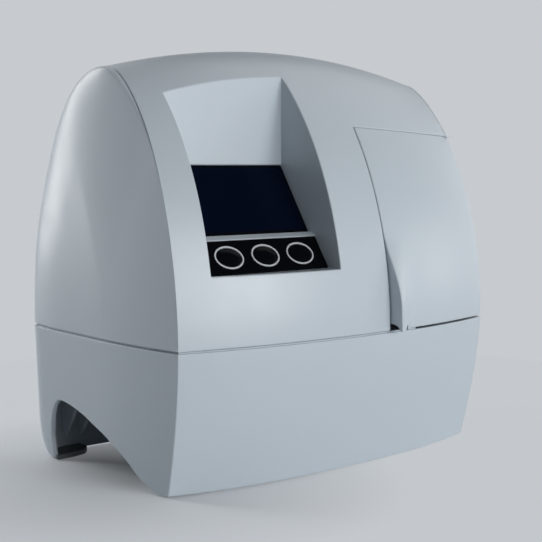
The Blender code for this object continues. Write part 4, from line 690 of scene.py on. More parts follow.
# Colour, share of it in the darker patches, roughness, size and depth of the grain
PLASTICS = {
    "housing_plastic": ((0.548, 0.615, 0.671), 0.97, (0.3, 0.36), 0.35 * MM, 0.006 * MM),
    "chassis_plastic": ((0.13, 0.145, 0.16), 0.85, (0.5, 0.68), 0.5 * MM, 0.012 * MM),
    "dark_plastic": ((0.035, 0.036, 0.04), 0.7, (0.38, 0.55), 0.4 * MM, 0.01 * MM),
    "acetal": ((0.8, 0.79, 0.76), 0.94, (0.3, 0.42), 0.6 * MM, 0.004 * MM),
    "ring_print": ((0.62, 0.65, 0.68), 0.93, (0.3, 0.4), 0.3 * MM, 0.004 * MM),
    "rubber": ((0.028, 0.028, 0.03), 0.6, (0.75, 0.92), 0.6 * MM, 0.03 * MM),
}

# Colour, roughness and how fine the brushed lines are along X, Y and Z
METALS = {
    "steel": ((0.58, 0.58, 0.59), (0.24, 0.4), (400, 3200, 3200)),
    "aluminium": ((0.72, 0.73, 0.75), (0.3, 0.46), (2600, 2600, 300)),
}


def moulded(name, colour, shade, rough, grain, depth):
    """Moulded plastic: fine grain, a slow drift of tone and patches of wear in the gloss."""
    finish = Finish(name)
    darker = tuple(c * shade for c in colour)
    finish.colour(finish.between(finish.noise(TONE_PATCH), darker, colour))
    finish.rough(finish.noise(GLOSS_PATCH, 5.0), *rough)
    finish.bump((finish.noise(grain, 2.0), depth),
                (finish.noise(COARSE_GRAIN * grain, 2.0), depth))
    return finish.made


def metal(name, colour, rough, stretch):
    """Metal with fine brushed lines along one axis."""
    finish = Finish(name, Metallic=1.0)
    lines = finish.noise(1.0, 4.0, finish.stretched(stretch))
    darker = tuple(c * METAL_SHADE for c in colour)
    finish.colour(finish.between(lines, darker, colour))
    finish.rough(lines, *rough)
    finish.bump((lines, METAL_LINES))
    return finish.made


def black_gloss():
    """Polished black plastic with faint smudges and a few long, soft waves."""
    finish = Finish("black_gloss", Specular_IOR_Level=0.06)
    finish.colour(finish.between(finish.noise(30 * MM), (0.002, 0.0024, 0.0034),
                                 (0.0028, 0.0033, 0.0046)))
    finish.rough(finish.noise(7 * MM, 6.0), 0.07, 0.15)
    finish.bump((finish.noise(25 * MM, 1.0), 0.02 * MM))
    return finish.made


def display_glass():
    """Dark pane with a slightly bluer field where the display lies behind it."""
    finish = Finish("display_glass", Specular_IOR_Level=0.06)
    parts = finish.add("ShaderNodeSeparateXYZ", {0: finish.place}).outputs
    inside = None
    for place, half in ((parts[0], VIEW_WIDTH / 2), (parts[1], VIEW_HEIGHT / 2)):
        off = finish.add("ShaderNodeMath", {0: place}, operation="ABSOLUTE").outputs[0]
        within = finish.ranged(off, 1.0, 0.0, half - PANE_EDGE, half)
        inside = within if inside is None else finish.math("MULTIPLY", inside, within)
    finish.colour(finish.between(inside, (0.0025, 0.003, 0.005), (0.0015, 0.0037, 0.0132)))
    finish.rough(finish.noise(9 * MM, 6.0), 0.06, 0.13)
    finish.bump((finish.noise(40 * MM, 1.0), 0.02 * MM))
    return finish.made


def circuit_board():
    """Green solder mask over a weave of copper tracks."""
    finish = Finish("circuit_board", Coat_Weight=0.3)
    tracks = finish.add("ShaderNodeTexBrick", {"Vector": finish.place, "Scale": 260.0,
                                               "Mortar Size": 0.03, "Color1": (0, 0, 0, 1),
                                               "Color2": (0, 0, 0, 1), "Mortar": (1, 1, 1, 1)})
    finish.colour(finish.between(tracks.outputs[0], (0.012, 0.11, 0.045), (0.03, 0.2, 0.08)))
    finish.rough(finish.noise(5 * MM), 0.28, 0.4)
    finish.bump((tracks.outputs[0], 0.03 * MM), (finish.noise(0.6 * MM), 0.01 * MM))
    return finish.made


def lens_glass():
    finish = Finish("lens_glass", Transmission_Weight=0.9, IOR=1.5)
    finish.colour(finish.between(finish.noise(2 * MM), (0.72, 0.82, 0.86), (0.8, 0.88, 0.9)))
    finish.rough(finish.noise(1 * MM), 0.02, 0.06)
    return finish.made


def ribbon_grey():
    """Flat cable: parallel wires side by side."""
    finish = Finish("ribbon_grey")
    wires = finish.add("ShaderNodeTexWave", {"Vector": finish.place, "Scale": 250.0},
                       bands_direction="X").outputs[1]
    finish.colour(finish.between(wires, (0.2, 0.21, 0.23), (0.42, 0.43, 0.45)))
    finish.rough(finish.noise(3 * MM), 0.4, 0.55)
    finish.bump((wires, 0.25 * MM))
    return finish.made


FINISHES = {name: moulded(name, *values) for name, values in PLASTICS.items()}
FINISHES.update({name: metal(name, *values) for name, values in METALS.items()})
FINISHES.update({build.__name__: build() for build in (
    black_gloss, display_glass, circuit_board, lens_glass, ribbon_grey)})


def dress_solids():
    """Give every solid that stays in sight the finish of its slot."""
    for row in frame["record"]["subparts"]:
        for slot in frame["nodes"][row["node"]].material_slots:
            slot.material = FINISHES[row["material_slot"]]


# Lower housing

HAND_HOLD_SHARES = ((0, 0), (0.06, 0.06), (0.15, 0.18), (0.24, 0.35), (0.31, 0.465), (0.4, 0.577),
                    (0.5, 0.69), (0.61, 0.783), (0.73, 0.885), (0.87, 0.965), (1, 1))


def smooth_through(pairs, place):
    """Height at a place on a smooth curve through pairs of shares."""
    i = 0
    while i < len(pairs) - 2 and pairs[i + 1][0] < place:
        i += 1
    slopes = []
    for k in (i, i + 1):
        low, high = pairs[max(k - 1, 0)], pairs[min(k + 1, len(pairs) - 1)]
        slopes.append((high[1] - low[1]) / (high[0] - low[0]))
    if i + 1 == len(pairs) - 1:
        slopes[1] = 0.0
    span = pairs[i + 1][0] - pairs[i][0]
    t = (place - pairs[i][0]) / span
    a, b = pairs[i][1], pairs[i + 1][1]
    return (a * (1 + 2 * t) * (1 - t) ** 2 + slopes[0] * span * t * (1 - t) ** 2
            + b * t * t * (3 - 2 * t) + slopes[1] * span * t * t * (t - 1))


def hand_hold_height(y):
    """Height of the side opening's rising curve."""
    share = limit((y - HAND_HOLD_FRONT_Y) / (HAND_HOLD_TOP_Y - HAND_HOLD_FRONT_Y))
    return HAND_HOLD_HEIGHT * smooth_through(HAND_HOLD_SHARES, share)


def leg_edge_y(z):
    """Y of the rear leg's front edge, under the opening's round corner."""
    top = HAND_HOLD_HEIGHT - HAND_HOLD_CORNER
    share = limit((z - FOOT_HEIGHT) / (top - FOOT_HEIGHT))
    return mix(HAND_HOLD_REAR_Y - WALL, HAND_HOLD_REAR_Y, share)


FRONT_COLUMNS = 36
CORNER_COLUMNS = 6
OPENING_COLUMNS = 40
ROUND_COLUMNS = 12
LEG_COLUMNS = 20
BACK_COLUMNS = 20
ROWS_OVER_OPENING = 12
ROWS_IN_LEG = 10
ROWS_IN_BAND = 8
SHELL_OUTLINES = {}


def stepped(*counts):
    """Places on a run of stretches, each cut into a count of steps."""
    places = [(stretch, i / count) for stretch, count in enumerate(counts) for i in range(count)]
    return places + [(len(counts) - 1, 1.0)]


def shell_point(station, z, inset):
    """Point on the lower housing at a station and a height. Outlines are kept for reuse."""
    key = (round(z / (MM / 1000)), inset)
    if key not in SHELL_OUTLINES:
        line = Outline(z, inset)
        bends = [0.0, line.corner, line.where_y(HAND_HOLD_FRONT_Y), line.where_y(HAND_HOLD_TOP_Y),
                 line.where_y(leg_edge_y(z)), line.back, line.reach[-1]]
        bends[2] = max(bends[2], bends[1] + FIT)
        SHELL_OUTLINES[key] = line, bends
    line, bends = SHELL_OUTLINES[key]
    stretch, share = station
    if stretch == 3 and z >= HAND_HOLD_HEIGHT - HAND_HOLD_CORNER:
        share = math.sin(share * QUARTER)
    return line.at(mix(bends[stretch], bends[stretch + 1], share))


def shell_foot(station):
    """Height of the lower edge at a station."""
    stretch, share = station
    if stretch < 2:
        return FOOT_HEIGHT
    if stretch == 2:
        y = mix(HAND_HOLD_FRONT_Y, HAND_HOLD_TOP_Y, share)
        return max(FOOT_HEIGHT, hand_hold_height(y))
    return HAND_HOLD_HEIGHT - HAND_HOLD_CORNER * (1 - math.cos(min(share, 1.0) * QUARTER))


def shell_rows(inset):
    """Points of the lower housing: rows above the openings for all columns, and rows of the leg.
    A station is the stretch that a column lies in and its share of it."""
    stations = stepped(FRONT_COLUMNS, CORNER_COLUMNS, OPENING_COLUMNS, ROUND_COLUMNS, LEG_COLUMNS,
                       BACK_COLUMNS)
    leg_top = HAND_HOLD_HEIGHT - HAND_HOLD_CORNER
    first_leg = FRONT_COLUMNS + CORNER_COLUMNS + OPENING_COLUMNS + ROUND_COLUMNS
    upper = []
    for i in range(ROWS_OVER_OPENING + 1):
        row = []
        for k, station in enumerate(stations):
            foot = shell_foot(station) if k < first_leg else leg_top
            row.append(shell_point(station, mix(foot, BAND_Z, i / ROWS_OVER_OPENING), inset))
        upper.append(row)
    for z in spread(BAND_Z, SEAM_Z - GROOVE_HEIGHT, ROWS_IN_BAND)[1:]:
        upper.append([shell_point(station, z, inset) for station in stations])
    levels = spread(FOOT_HEIGHT, leg_top, ROWS_IN_LEG + 1)
    lower = [[shell_point(station, z, inset) for station in stations[first_leg:]]
             for z in levels[:-1]]
    return upper, lower, first_leg


def build_lower_housing():
    """Skirt of the lower housing with a hand-hold in each side, closed at its rim."""
    bm = bmesh.new()
    skins = []
    for inset in (0.0, WALL):
        upper, lower, first_leg = shell_rows(inset)
        upper = [[bm.verts.new(p) for p in row] for row in upper]
        lower = [[bm.verts.new(p) for p in row] for row in lower]
        skins.append((upper, lower + [upper[0][first_leg:]]))
    (outer_upper, outer_lower), (inner_upper, inner_lower) = skins
    grid_faces(bm, outer_upper)
    grid_faces(bm, outer_lower)
    outer = [v for row in outer_upper + outer_lower for v in row]
    inner = [v for row in inner_upper + inner_lower for v in row]
    close_skins(bm, outer, inner)
    loose = [v for v in bm.verts if not v.link_faces]
    bmesh.ops.delete(bm, geom=loose, context="VERTS")
    middle = [face for face in bm.faces if all(abs(v.co.x) < FIT / 1000 for v in face.verts)]
    bmesh.ops.delete(bm, geom=middle, context="FACES")
    bmesh.ops.mirror(bm, geom=bm.verts[:] + bm.edges[:] + bm.faces[:], axis="X",
                     merge_dist=FIT / 100)
    bmesh.ops.recalc_face_normals(bm, faces=bm.faces)
    made = place_piece("lower_housing", bm, "housing_plastic", "base_shell")
    round_edges(made, OPENING_EDGE, segments=4, share=edge_share)
    carve(made, *[connector_opening(n) for n in ("power_jack", "serial_port", "scanner_port")])
    even_normals(made)
    add_step_of_rim()


def edge_share(place):
    """Part of the widest rounding that an edge of the lower housing gets. The legs get it all."""
    if place.z > BAND_Z:
        return SEAM_EDGE / OPENING_EDGE
    leg = place.y > HAND_HOLD_TOP_Y and place.z < HAND_HOLD_HEIGHT - HAND_HOLD_CORNER
    return 1.0 if leg and abs(place.x) > BACK_HALF else SHELL_EDGE / OPENING_EDGE


def connector_opening(node):
    """Cut through the rear wall round a connector."""
    low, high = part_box(node)
    centre = ((low.x + high.x) / 2, (low.z + high.z) / 2)
    size = (high.x - low.x + 2 * FIT, high.z - low.z + 2 * FIT)
    return add_prism(bmesh.new(), rounded(centre, size, CONNECTOR_ROUND), "Y",
                     REAR_Y - CORNER_DEPTH / 2, REAR_Y + OVERRUN)


def whole_outline(z, inset, columns=160):
    """Closed outline of the lower housing at a height."""
    line = Outline(z, inset)
    right = [line.at(line.reach[-1] * i / columns) for i in range(columns + 1)]
    return right + [Vector((-p.x, p.y, p.z)) for p in reversed(right[1:-1])]


def add_step_of_rim():
    """Set-back rim inside the covers, which makes the groove along the seam. Under the door, to
    the right of its lip, the groove is open."""
    low, high = SEAM_Z - GROOVE_HEIGHT - WALL, SEAM_Z - FIT
    rings = [whole_outline(low, GROOVE_DEPTH), whole_outline(high, GROOVE_DEPTH),
             whole_outline(high, WALL + FIT), whole_outline(low, WALL + FIT)]
    made = place_piece("seam_rim", add_rings(bmesh.new(), rings, wrap=True), "housing_plastic")
    carve(made, add_block(bmesh.new(), (DOOR_LEFT + LIP_WIDTH + WALL, -DEPTH, low - WALL),
                          (WIDTH, DOOR_EDGE_Y, SEAM_Z + WALL)))
    even_normals(made)


COLUMN_WIDTH = 13 * MM
COLUMN_DEPTH = 11 * MM
COLUMN_INSET = 4 * MM
PAD_HEIGHT = 1.6 * MM
GUSSET_THICKNESS = 2 * MM
GUSSET_DEPTH = 20 * MM
GUSSET_TIP_Z = 5 * MM
GUSSET_EDGE = 1.2 * MM
GUSSET_PITCH = 9 * MM
GUSSET_COUNT = 2
GUSSET_POINTS = 16
SCREW_BORE = 3.3 * MM
SCREW_BORE_DEPTH = 4 * MM
SOLE_POINTS = 41
SOLE_FRONT_Y = 46.5 * MM
SOLE_INNER_X = 79 * MM
SOLE_FRONT = ((78.5 * MM, 57 * MM), (79.5 * MM, 53 * MM), (83 * MM, 49 * MM), (90 * MM, 47 * MM))
SOLE_LEVELS = ((0.2 * MM, 1.2 * MM), (0.5 * MM, 0.7 * MM), (2.1 * MM, 0.6 * MM),
               (2.5 * MM, 0.9 * MM))


def build_gussets():
    """Pointed ribs on the inside of the rear wall."""
    top = PAN_Z - FIT
    front = base_rear(top) - WALL - GUSSET_DEPTH
    outline = [(base_rear(z) - WALL / 2, z) for z in spread(GUSSET_TIP_Z, top, GUSSET_POINTS)]
    outline += [(front, top), (front, top - GUSSET_EDGE)]
    outer = BACK_HALF + GUSSET_THICKNESS
    bm = bmesh.new()
    for side in (-1, 1):
        for i in range(GUSSET_COUNT):
            x = side * (outer - i * GUSSET_PITCH)
            add_prism(bm, outline, "X", x - GUSSET_THICKNESS / 2, x + GUSSET_THICKNESS / 2)
    made = place_piece("rear_gussets", bm, "housing_plastic")
    round_edges(made, RIB_EDGE)
    even_normals(made)


def build_columns():
    """Front columns for the screws."""
    foot = FOOT_HEIGHT + PAD_HEIGHT / 2
    x = FRONT_HALF - SIDE_DRAFT - WALL - COLUMN_WIDTH / 2 + COLUMN_INSET / 2
    y = FRONT_Y + FRONT_UNDERCUT + WALL + COLUMN_DEPTH / 2 - COLUMN_INSET / 2
    inset = WALL / 2
    for side, name in ((-1, "left"), (1, "right")):
        outline = rounded((side * x, y + inset), (COLUMN_WIDTH - inset, COLUMN_DEPTH - inset), WALL)
        bm = add_prism(bmesh.new(), outline, "Z", foot, PAN_Z - FIT)
        made = place_piece("screw_column_" + name, bm, "housing_plastic")
        round_edges(made, RIB_EDGE)
        bore = ellipse((side * x, y), SCREW_BORE, SCREW_BORE)
        carve(made, add_prism(bmesh.new(), bore, "Z", -OVERRUN, foot + SCREW_BORE_DEPTH))
        even_normals(made)


def build_soles():
    """Dark soles that fill the rear legs from below."""
    for side, name in ((-1, "left"), (1, "right")):
        rings = []
        for z, inset in SOLE_LEVELS:
            line = Outline(z, inset)
            start, end = line.where_y(SOLE_FRONT_Y), line.reach[-1] - SOLE_INNER_X
            ring = [line.at(distance) for distance in spread(start, end, SOLE_POINTS)]
            ring += [Vector((x, y, z)) for x, y in SOLE_FRONT]
            rings.append([Vector((side * p.x, p.y, z)) for p in ring])
        made = place_piece("leg_sole_" + name, add_rings(bmesh.new(), rings), "chassis_plastic")
        even_normals(made)


# Front cover

EDGE_COLUMNS = 9
RECESS_COLUMNS = 34
PILLAR_COLUMNS = 16
OVER_DOOR_COLUMNS = 40
APRON_ROWS = 16
RECESS_ROWS = 56
BROW_ROWS = 24
STEM_HOLE_COLUMNS = 2
STEM_HOLE_ROW = 3


def ledge_height(y):
    """Height of the ledge under the keys, which falls a little to the front."""
    fall = 2 * LEDGE_SLOPE * (PANEL_FOOT_Y - y) / (PANEL_FOOT_Y + DEPTH)
    return LEDGE_Z + LEDGE_SLOPE - fall


def cover_turn(x, band, share):
    """Turn on a row of the front cover: apron, recess band or brow, at a share of the band."""
    ledge = turn_at_z(x, ledge_height(front_y(x, LEDGE_Z)))
    head = turn_at_y(x, DISPLAY_SLOPE.head.x)
    over_door = turn_at_z(x, door_top(max(x, DOOR_LEFT)) + PARTING)
    across = smooth_step((x - RECESS_RIGHT) / (DOOR_LEFT - RECESS_RIGHT))
    bounds = (0.0, ledge, mix(head, over_door, across), turn_at_y(x, RIDGE_LINE_Y - PARTING / 2))
    return mix(bounds[band], bounds[band + 1], share)


def cover_x(stretch, share, turn):
    """X on a column of the front cover."""
    edges = []
    for side in (-1, 1):
        place = arch(side * edge_half(turn), turn)
        edges.append(place.x - side * PARTING / 2 * parting_share(*place))
    bounds = (edges[0], RECESS_LEFT, RECESS_RIGHT, DOOR_LEFT, edges[1])
    return mix(bounds[stretch], bounds[stretch + 1], share)


def cover_point(column, row):
    turn = 0.0
    for _ in range(4):
        x = cover_x(*column, turn)
        turn = cover_turn(x, *row)
    return arch(cover_x(*column, turn), turn)


def pocket_profile():
    """Back of the recess in Y and Z, from the ledge's foot up, with seats for the two panes."""
    seat = GLAZING + FIT
    return [PANEL_SLOPE.at(0), PANEL_SLOPE.at(0, -seat), PANEL_SLOPE.at(0.3, -seat),
            PANEL_SLOPE.at(0.7, -seat), PANEL_SLOPE.at(1, -seat), PANEL_SLOPE.at(1),
            DISPLAY_SLOPE.at(0), DISPLAY_SLOPE.at(0, -seat), DISPLAY_SLOPE.at(1, -seat),
            DISPLAY_SLOPE.at(1)]


def build_front_cover():
    """Front half of the arch with the recess moulded in, and an opening for the door. Behind the
    display's pane the recess is closed."""
    columns = stepped(EDGE_COLUMNS, RECESS_COLUMNS, PILLAR_COLUMNS, OVER_DOOR_COLUMNS)
    rows = stepped(APRON_ROWS, RECESS_ROWS, BROW_ROWS)
    bm = bmesh.new()
    grid = [[bm.verts.new(cover_point(column, row)) for column in columns] for row in rows]

    def is_open(i, j):
        in_recess = rows[i][0] == 1 and columns[j][0] == 1
        in_door = rows[i][0] < 2 and columns[j][0] == 3
        return in_recess or in_door

    grid_faces(bm, grid, is_open)
    left, right = EDGE_COLUMNS, EDGE_COLUMNS + RECESS_COLUMNS
    bottom, top = APRON_ROWS, APRON_ROWS + RECESS_ROWS
    back = [grid[bottom][left:right + 1]]
    for point in pocket_profile():
        back.append([bm.verts.new((v.co.x, point.x, point.y)) for v in back[0]])
    back.append(grid[top][left:right + 1])
    stems = [round((x - RECESS_LEFT) / RECESS_WIDTH * RECESS_COLUMNS) for x in key_places()]
    grid_faces(bm, back, lambda i, j: i == STEM_HOLE_ROW and any(
        -STEM_HOLE_COLUMNS <= j - k < STEM_HOLE_COLUMNS for k in stems))
    for at, column in ((0, left), (-1, right)):
        wall = [row[at] for row in back] + [grid[i][column] for i in range(top - 1, bottom, -1)]
        bm.faces.new(wall if at == 0 else wall[::-1])
    loose = [v for v in bm.verts if not v.link_faces]
    bmesh.ops.delete(bm, geom=loose, context="VERTS")
    bmesh.ops.recalc_face_normals(bm, faces=bm.faces)
    if sum(face.normal.y for face in bm.faces) > 0:
        bmesh.ops.reverse_faces(bm, faces=bm.faces)
    made = place_piece("front_shell", bm, "housing_plastic", "front_cover")
    thicken(made, WALL)
    beside = RIDGE_HALF - 2 * WALL
    round_edges(made, SHELL_EDGE, share=lambda p: parting_share(*p) if abs(p.x) > beside else 1.0)
    even_normals(made)


# Rear cover and side covers

REAR_COLUMNS = 72
REAR_ROWS = 72


def build_rear_cover():
    """Top and back of the arch, with vents low in the back."""
    bm = bmesh.new()
    grid = []
    for i in range(REAR_ROWS + 1):
        row = []
        for s in spread(-1, 1, REAR_COLUMNS + 1):
            start = turn_at_y(RIDGE_HALF * s, RIDGE_LINE_Y + PARTING / 2)
            turn = mix(start, math.pi, i / REAR_ROWS)
            row.append(bm.verts.new(arch((edge_half(turn) - PARTING / 2) * s, turn)))
        grid.append(row)
    grid_faces(bm, grid)
    bmesh.ops.recalc_face_normals(bm, faces=bm.faces)
    if sum(face.normal.z for face in bm.faces) < 0:
        bmesh.ops.reverse_faces(bm, faces=bm.faces)
    made = place_piece("rear_shell", bm, "housing_plastic", "rear_cover")
    thicken(made, WALL)
    round_edges(made, SHELL_EDGE)
    cuts = []
    for side in (-1, 1):
        for i in range(VENT_COUNT):
            centre = (side * VENT_SPREAD, SEAM_Z + VENT_RISE + i * VENT_PITCH)
            slot = rounded(centre, (VENT_LENGTH, VENT_HEIGHT), VENT_HEIGHT * VENT_ROUND_SHARE)
            cuts.append(add_prism(bmesh.new(), slot, "Y", REAR_Y - OVERRUN, REAR_Y + OVERRUN))
    carve(made, *cuts)
    even_normals(made)


SIDE_TURNS = 120
SIDE_STEPS = 34
SIDE_CORNER_STEPS = 20
SIDE_FIRST_DEPTH = 0.9 * MM
SIDE_SPREAD_POWER = 1.4
SIDE_SHARP = math.radians(55)


def side_depths(turn, length):
    """Depths of the side cover's rows in from its arched edge, close together where it bends."""
    depths = [0.0]
    for i in range(1, SIDE_STEPS):
        share = (i - 1) / (SIDE_STEPS - 1)
        even = mix(SIDE_FIRST_DEPTH, length, share ** SIDE_SPREAD_POWER)
        if i <= SIDE_CORNER_STEPS:
            out = math.cos(QUARTER * i / SIDE_CORNER_STEPS) ** (2 / SIDE_ROUND_BACK_POWER)
            bent = SIDE_ROUND_DEPTH * (1 - out)
        else:
            rest = (i - SIDE_CORNER_STEPS) / (SIDE_STEPS - SIDE_CORNER_STEPS)
            bent = mix(SIDE_ROUND_DEPTH, length, rest)
        depths.append(mix(even, bent, roundness(side_edge(turn)[0])))
    return depths


def side_rows(side, inset, thickness):
    """Rows of a side cover from its arched edge inwards, one for each turn, drawn at the right."""
    middle = Vector((0, SIDE_PEAK_Y, SEAM_Z))
    top = HEIGHT - SEAM_Z
    rows = []
    for turn in spread(0, math.pi, SIDE_TURNS + 1):
        line = arch(edge_half(turn), turn)
        gap = PARTING / 2 * parting_share(side * line.x, line.y, line.z)
        outer_length = (line.yz - middle.yz).length
        edge = arch(edge_half(turn), turn, inset)
        span = Vector((0, edge.y, edge.z)) - middle
        row = []
        for depth in side_depths(turn, outer_length):
            share = depth / outer_length
            place = middle + span * (1 - share)
            true_depth = outer_length - span.length * (1 - share)
            x = edge_half(turn) + side_reach(turn, true_depth) + gap
            x = min(x, WIDTH / 2) - thickness
            if depth == 0:
                x = edge_half(turn) + gap
            lifted = SEAM_Z + SHELL_EDGE + (place.z - SEAM_Z) * (1 - SHELL_EDGE / top)
            row.append(Vector((x, place.y, max(lifted, SEAM_Z + SHELL_EDGE))))
        rows.append(row)
    return rows


def build_side_cover(name, side, node):
    """Side cover, a fan of rows round its middle on the seam, with a round lower edge."""
    bm = bmesh.new()
    skins, feet = [], []
    for inset, thickness in ((0.0, 0.0), (WALL + FIT, WALL)):
        rows = [[bm.verts.new((side * p.x, p.y, p.z)) for p in row]
                for row in side_rows(side, inset, thickness)]
        x = WIDTH / 2 - thickness
        pole = bm.verts.new((side * x, SIDE_PEAK_Y, SEAM_Z + SHELL_EDGE))
        grid_faces(bm, rows)
        for low, high in zip(rows, rows[1:]):
            bm.faces.new((low[-1], pole, high[-1]))
        skins.append(rows)
        feet.append(rows[0] + [pole] + rows[-1][::-1])
    outer_foot, inner_foot = feet
    lines = [outer_foot]
    for a in spread(0, QUARTER, 4)[1:]:
        line = []
        for v in outer_foot:
            drop = Vector((-side * SHELL_EDGE * (1 - math.cos(a)), 0, -SHELL_EDGE * math.sin(a)))
            line.append(bm.verts.new(v.co + drop))
        lines.append(line)
    lines.append([bm.verts.new((v.co.x, v.co.y, SEAM_Z)) for v in inner_foot])
    lines.append(inner_foot)
    grid_faces(bm, lines)
    outer, inner = skins
    for i in range(SIDE_TURNS):
        bm.faces.new((outer[i][0], outer[i + 1][0], inner[i + 1][0], inner[i][0]))
    for end in (0, -1):
        bm.faces.new([line[end] for line in lines])
    bmesh.ops.recalc_face_normals(bm, faces=bm.faces)
    return place_piece(name, bm, "housing_plastic", node)


def build_side_covers():
    left = build_side_cover("left_shell", -1, "left_side_cover")
    even_normals(left, SIDE_SHARP)
    right = build_side_cover("right_shell", 1, "right_side_cover")
    low = SEAM_Z - OVERRUN
    far = WIDTH / 2 + OVERRUN
    outline = [(DOOR_LEFT, low), (far, low), (far, door_top(far) + PARTING),
               (DOOR_LEFT, DOOR_TOP_Z + PARTING)]
    carve(right, add_prism(bmesh.new(), outline, "Y", -DEPTH, DOOR_EDGE_Y + HINGE_GAP))
    even_normals(right, SIDE_SHARP)


# Door

DOOR_ROWS = 64
DOOR_COLUMNS = 60
FLANGE_COLUMNS = 14
DOOR_CROWD_POWER = 1.3
MITRE_LIMIT = 0.5


def lip_push(x, z):
    """How far the finger lip stands out in front of the door."""
    across = 1 - smooth_step((x - DOOR_LEFT) / LIP_WIDTH)
    up = 1 - smooth_step((z - SEAM_Z - LIP_FADE_START) / (LIP_FADE_END - LIP_FADE_START))
    return LIP_REACH * across * up


def door_row(share):
    """One level of the door: its front from the left, then its flange round the corner."""
    left = DOOR_LEFT + PARTING
    corner_z = mix(SEAM_Z, door_top(FRONT_HALF), share)
    right = edge_half(turn_at_z(RIDGE_HALF, corner_z))
    row = []
    for s in spread(0, 1, DOOR_COLUMNS + 1):
        x = mix(left, right, s ** DOOR_CROWD_POWER)
        z = mix(SEAM_Z, door_top(x), share)
        row.append(Vector((x, front_y(x, z), z)))
    corner = row[-1]
    for s in spread(0, 1, FLANGE_COLUMNS + 1)[1:]:
        y = mix(corner.y, DOOR_EDGE_Y, s)
        row.append(Vector((side_x(y, corner.z), y, corner.z)))
    return row


def inwards(row, distance):
    """Copy of a row moved inwards in plan, mitred at its bends."""
    moved = []
    for i, point in enumerate(row):
        before = row[max(i - 1, 0)]
        after = row[min(i + 1, len(row) - 1)]
        normals = []
        for a, b in ((before, point), (point, after)):
            run = (b - a).to_2d()
            if run.length > 0:
                normals.append(Vector((-run.y, run.x)).normalized())
        mean = sum(normals, Vector((0, 0))).normalized()
        reach = distance / max(mean.dot(normals[0]), MITRE_LIMIT)
        moved.append(Vector((point.x + mean.x * reach, point.y + mean.y * reach, point.z)))
    moved[-1].y = row[-1].y
    moved[0].x = row[0].x
    return moved


def build_door():
    """Door skin with its finger lip, a thumb notch under the lip, and two bent hinge arms."""
    bm = bmesh.new()
    outer, inner = [], []
    for share in spread(0, 1, DOOR_ROWS + 1):
        row = door_row(share)
        inner.append([bm.verts.new(p) for p in inwards(row, DOOR_WALL)])
        outer.append([bm.verts.new((p.x, p.y - lip_push(p.x, p.z) * (p.y < DOOR_EDGE_Y), p.z))
                      for p in row])
    grid_faces(bm, outer)
    close_skins(bm, [v for row in outer for v in row], [v for row in inner for v in row])
    made = place_piece("door_skin", bm, "housing_plastic", "door", body="door")
    round_edges(made, SHELL_EDGE)
    notch = ellipse((front_y(DOOR_LEFT, SEAM_Z), SEAM_Z), LIP_NOTCH_DEPTH, LIP_NOTCH_HEIGHT)
    carve(made, add_prism(bmesh.new(), notch, "X", DOOR_LEFT - OVERRUN, DOOR_LEFT + LIP_WIDTH / 2))
    even_normals(made)
    for i, name in enumerate(("lower", "upper")):
        low = SEAM_Z + ARM_RISE + i * ARM_SPACING
        arm = place_piece("hinge_arm_" + name, hinge_arm(low), "housing_plastic", body="door")
        round_edges(arm, RIB_EDGE)
        hole = ellipse((HINGE_X, HINGE_Y), PIN_CLEARANCE_RADIUS, PIN_CLEARANCE_RADIUS)
        carve(arm, add_prism(bmesh.new(), hole, "Z", low - WALL, low + ARM_HEIGHT + WALL))
        even_normals(arm)


def hinge_arm(low):
    """Bent arm from the barrel, inwards, forwards and out to the door's flange."""
    half = ARM_WIDTH / 2
    flange_y = HINGE_Y - ARM_FORWARD
    flange_x = side_x(flange_y, low + ARM_HEIGHT / 2) - DOOR_WALL / 2 - HINGE_X
    outline = [(-ARM_REACH - half, 0), (-ARM_REACH - half, -ARM_FORWARD - half),
               (flange_x, -ARM_FORWARD - half), (flange_x, -ARM_FORWARD + half),
               (-ARM_REACH + half, -ARM_FORWARD + half), (-ARM_REACH + half, -half)]
    start = math.asin(half / BARREL_RADIUS)
    outline += [(BARREL_RADIUS * math.cos(a), BARREL_RADIUS * math.sin(a))
                for a in spread(math.pi + start, 3 * math.pi - start, 25)]
    outline.append((-ARM_REACH, half))
    outline = [(HINGE_X + x, HINGE_Y + y) for x, y in outline]
    return add_prism(bmesh.new(), outline, "Z", low, low + ARM_HEIGHT)


# Panes and keys

def pane(name, slope, finish):
    """Thin plate that fills the recess from wall to wall, flush with the slope."""
    width, height = RECESS_WIDTH - 2 * FIT, slope.length - 2 * FIT
    bm = add_block(bmesh.new(), (-width / 2, -height / 2, -GLAZING), (width / 2, height / 2, 0))
    made = place_piece(name + "_pane", bm, "black_gloss", name, finish=finish)
    made.matrix_basis = slanted_frame(slope)
    round_edges(made, PANE_EDGE)
    return made


def build_panes():
    even_normals(pane("display_window", DISPLAY_SLOPE, "display_glass"))
    panel = pane("key_panel", PANEL_SLOPE, "black_gloss")
    cuts = []
    for x in key_places():
        grow = 2 * FIT + RING_WIDTH
        hole = ellipse((x - RECESS_MID, 0), KEY_WIDTH / 2 + grow, KEY_HEIGHT / 2 + grow)
        cut = add_prism(bmesh.new(), hole, "Z", -2 * GLAZING, GLAZING)
        cut.transform(slanted_frame(PANEL_SLOPE))
        cuts.append(cut)
    carve(panel, *cuts)
    even_normals(panel)


def oval_rings(stations):
    """Stack of ovals, each from how far it is grown past the key's outline and its level."""
    return [[Vector((*p, level))
             for p in ellipse((0, 0), KEY_WIDTH / 2 + grow, KEY_HEIGHT / 2 + grow)]
            for grow, level in stations]


RING_ROUND = 0.12 * MM
KEY_CROWN = 0.3 * MM
KEY_EDGE = 0.45 * MM
KEY_EDGE_STEPS = 6
CROWN_STEPS = (0.8, 0.6, 0.4, 0.2, 0.05)
CROWN_REACH = 0.98


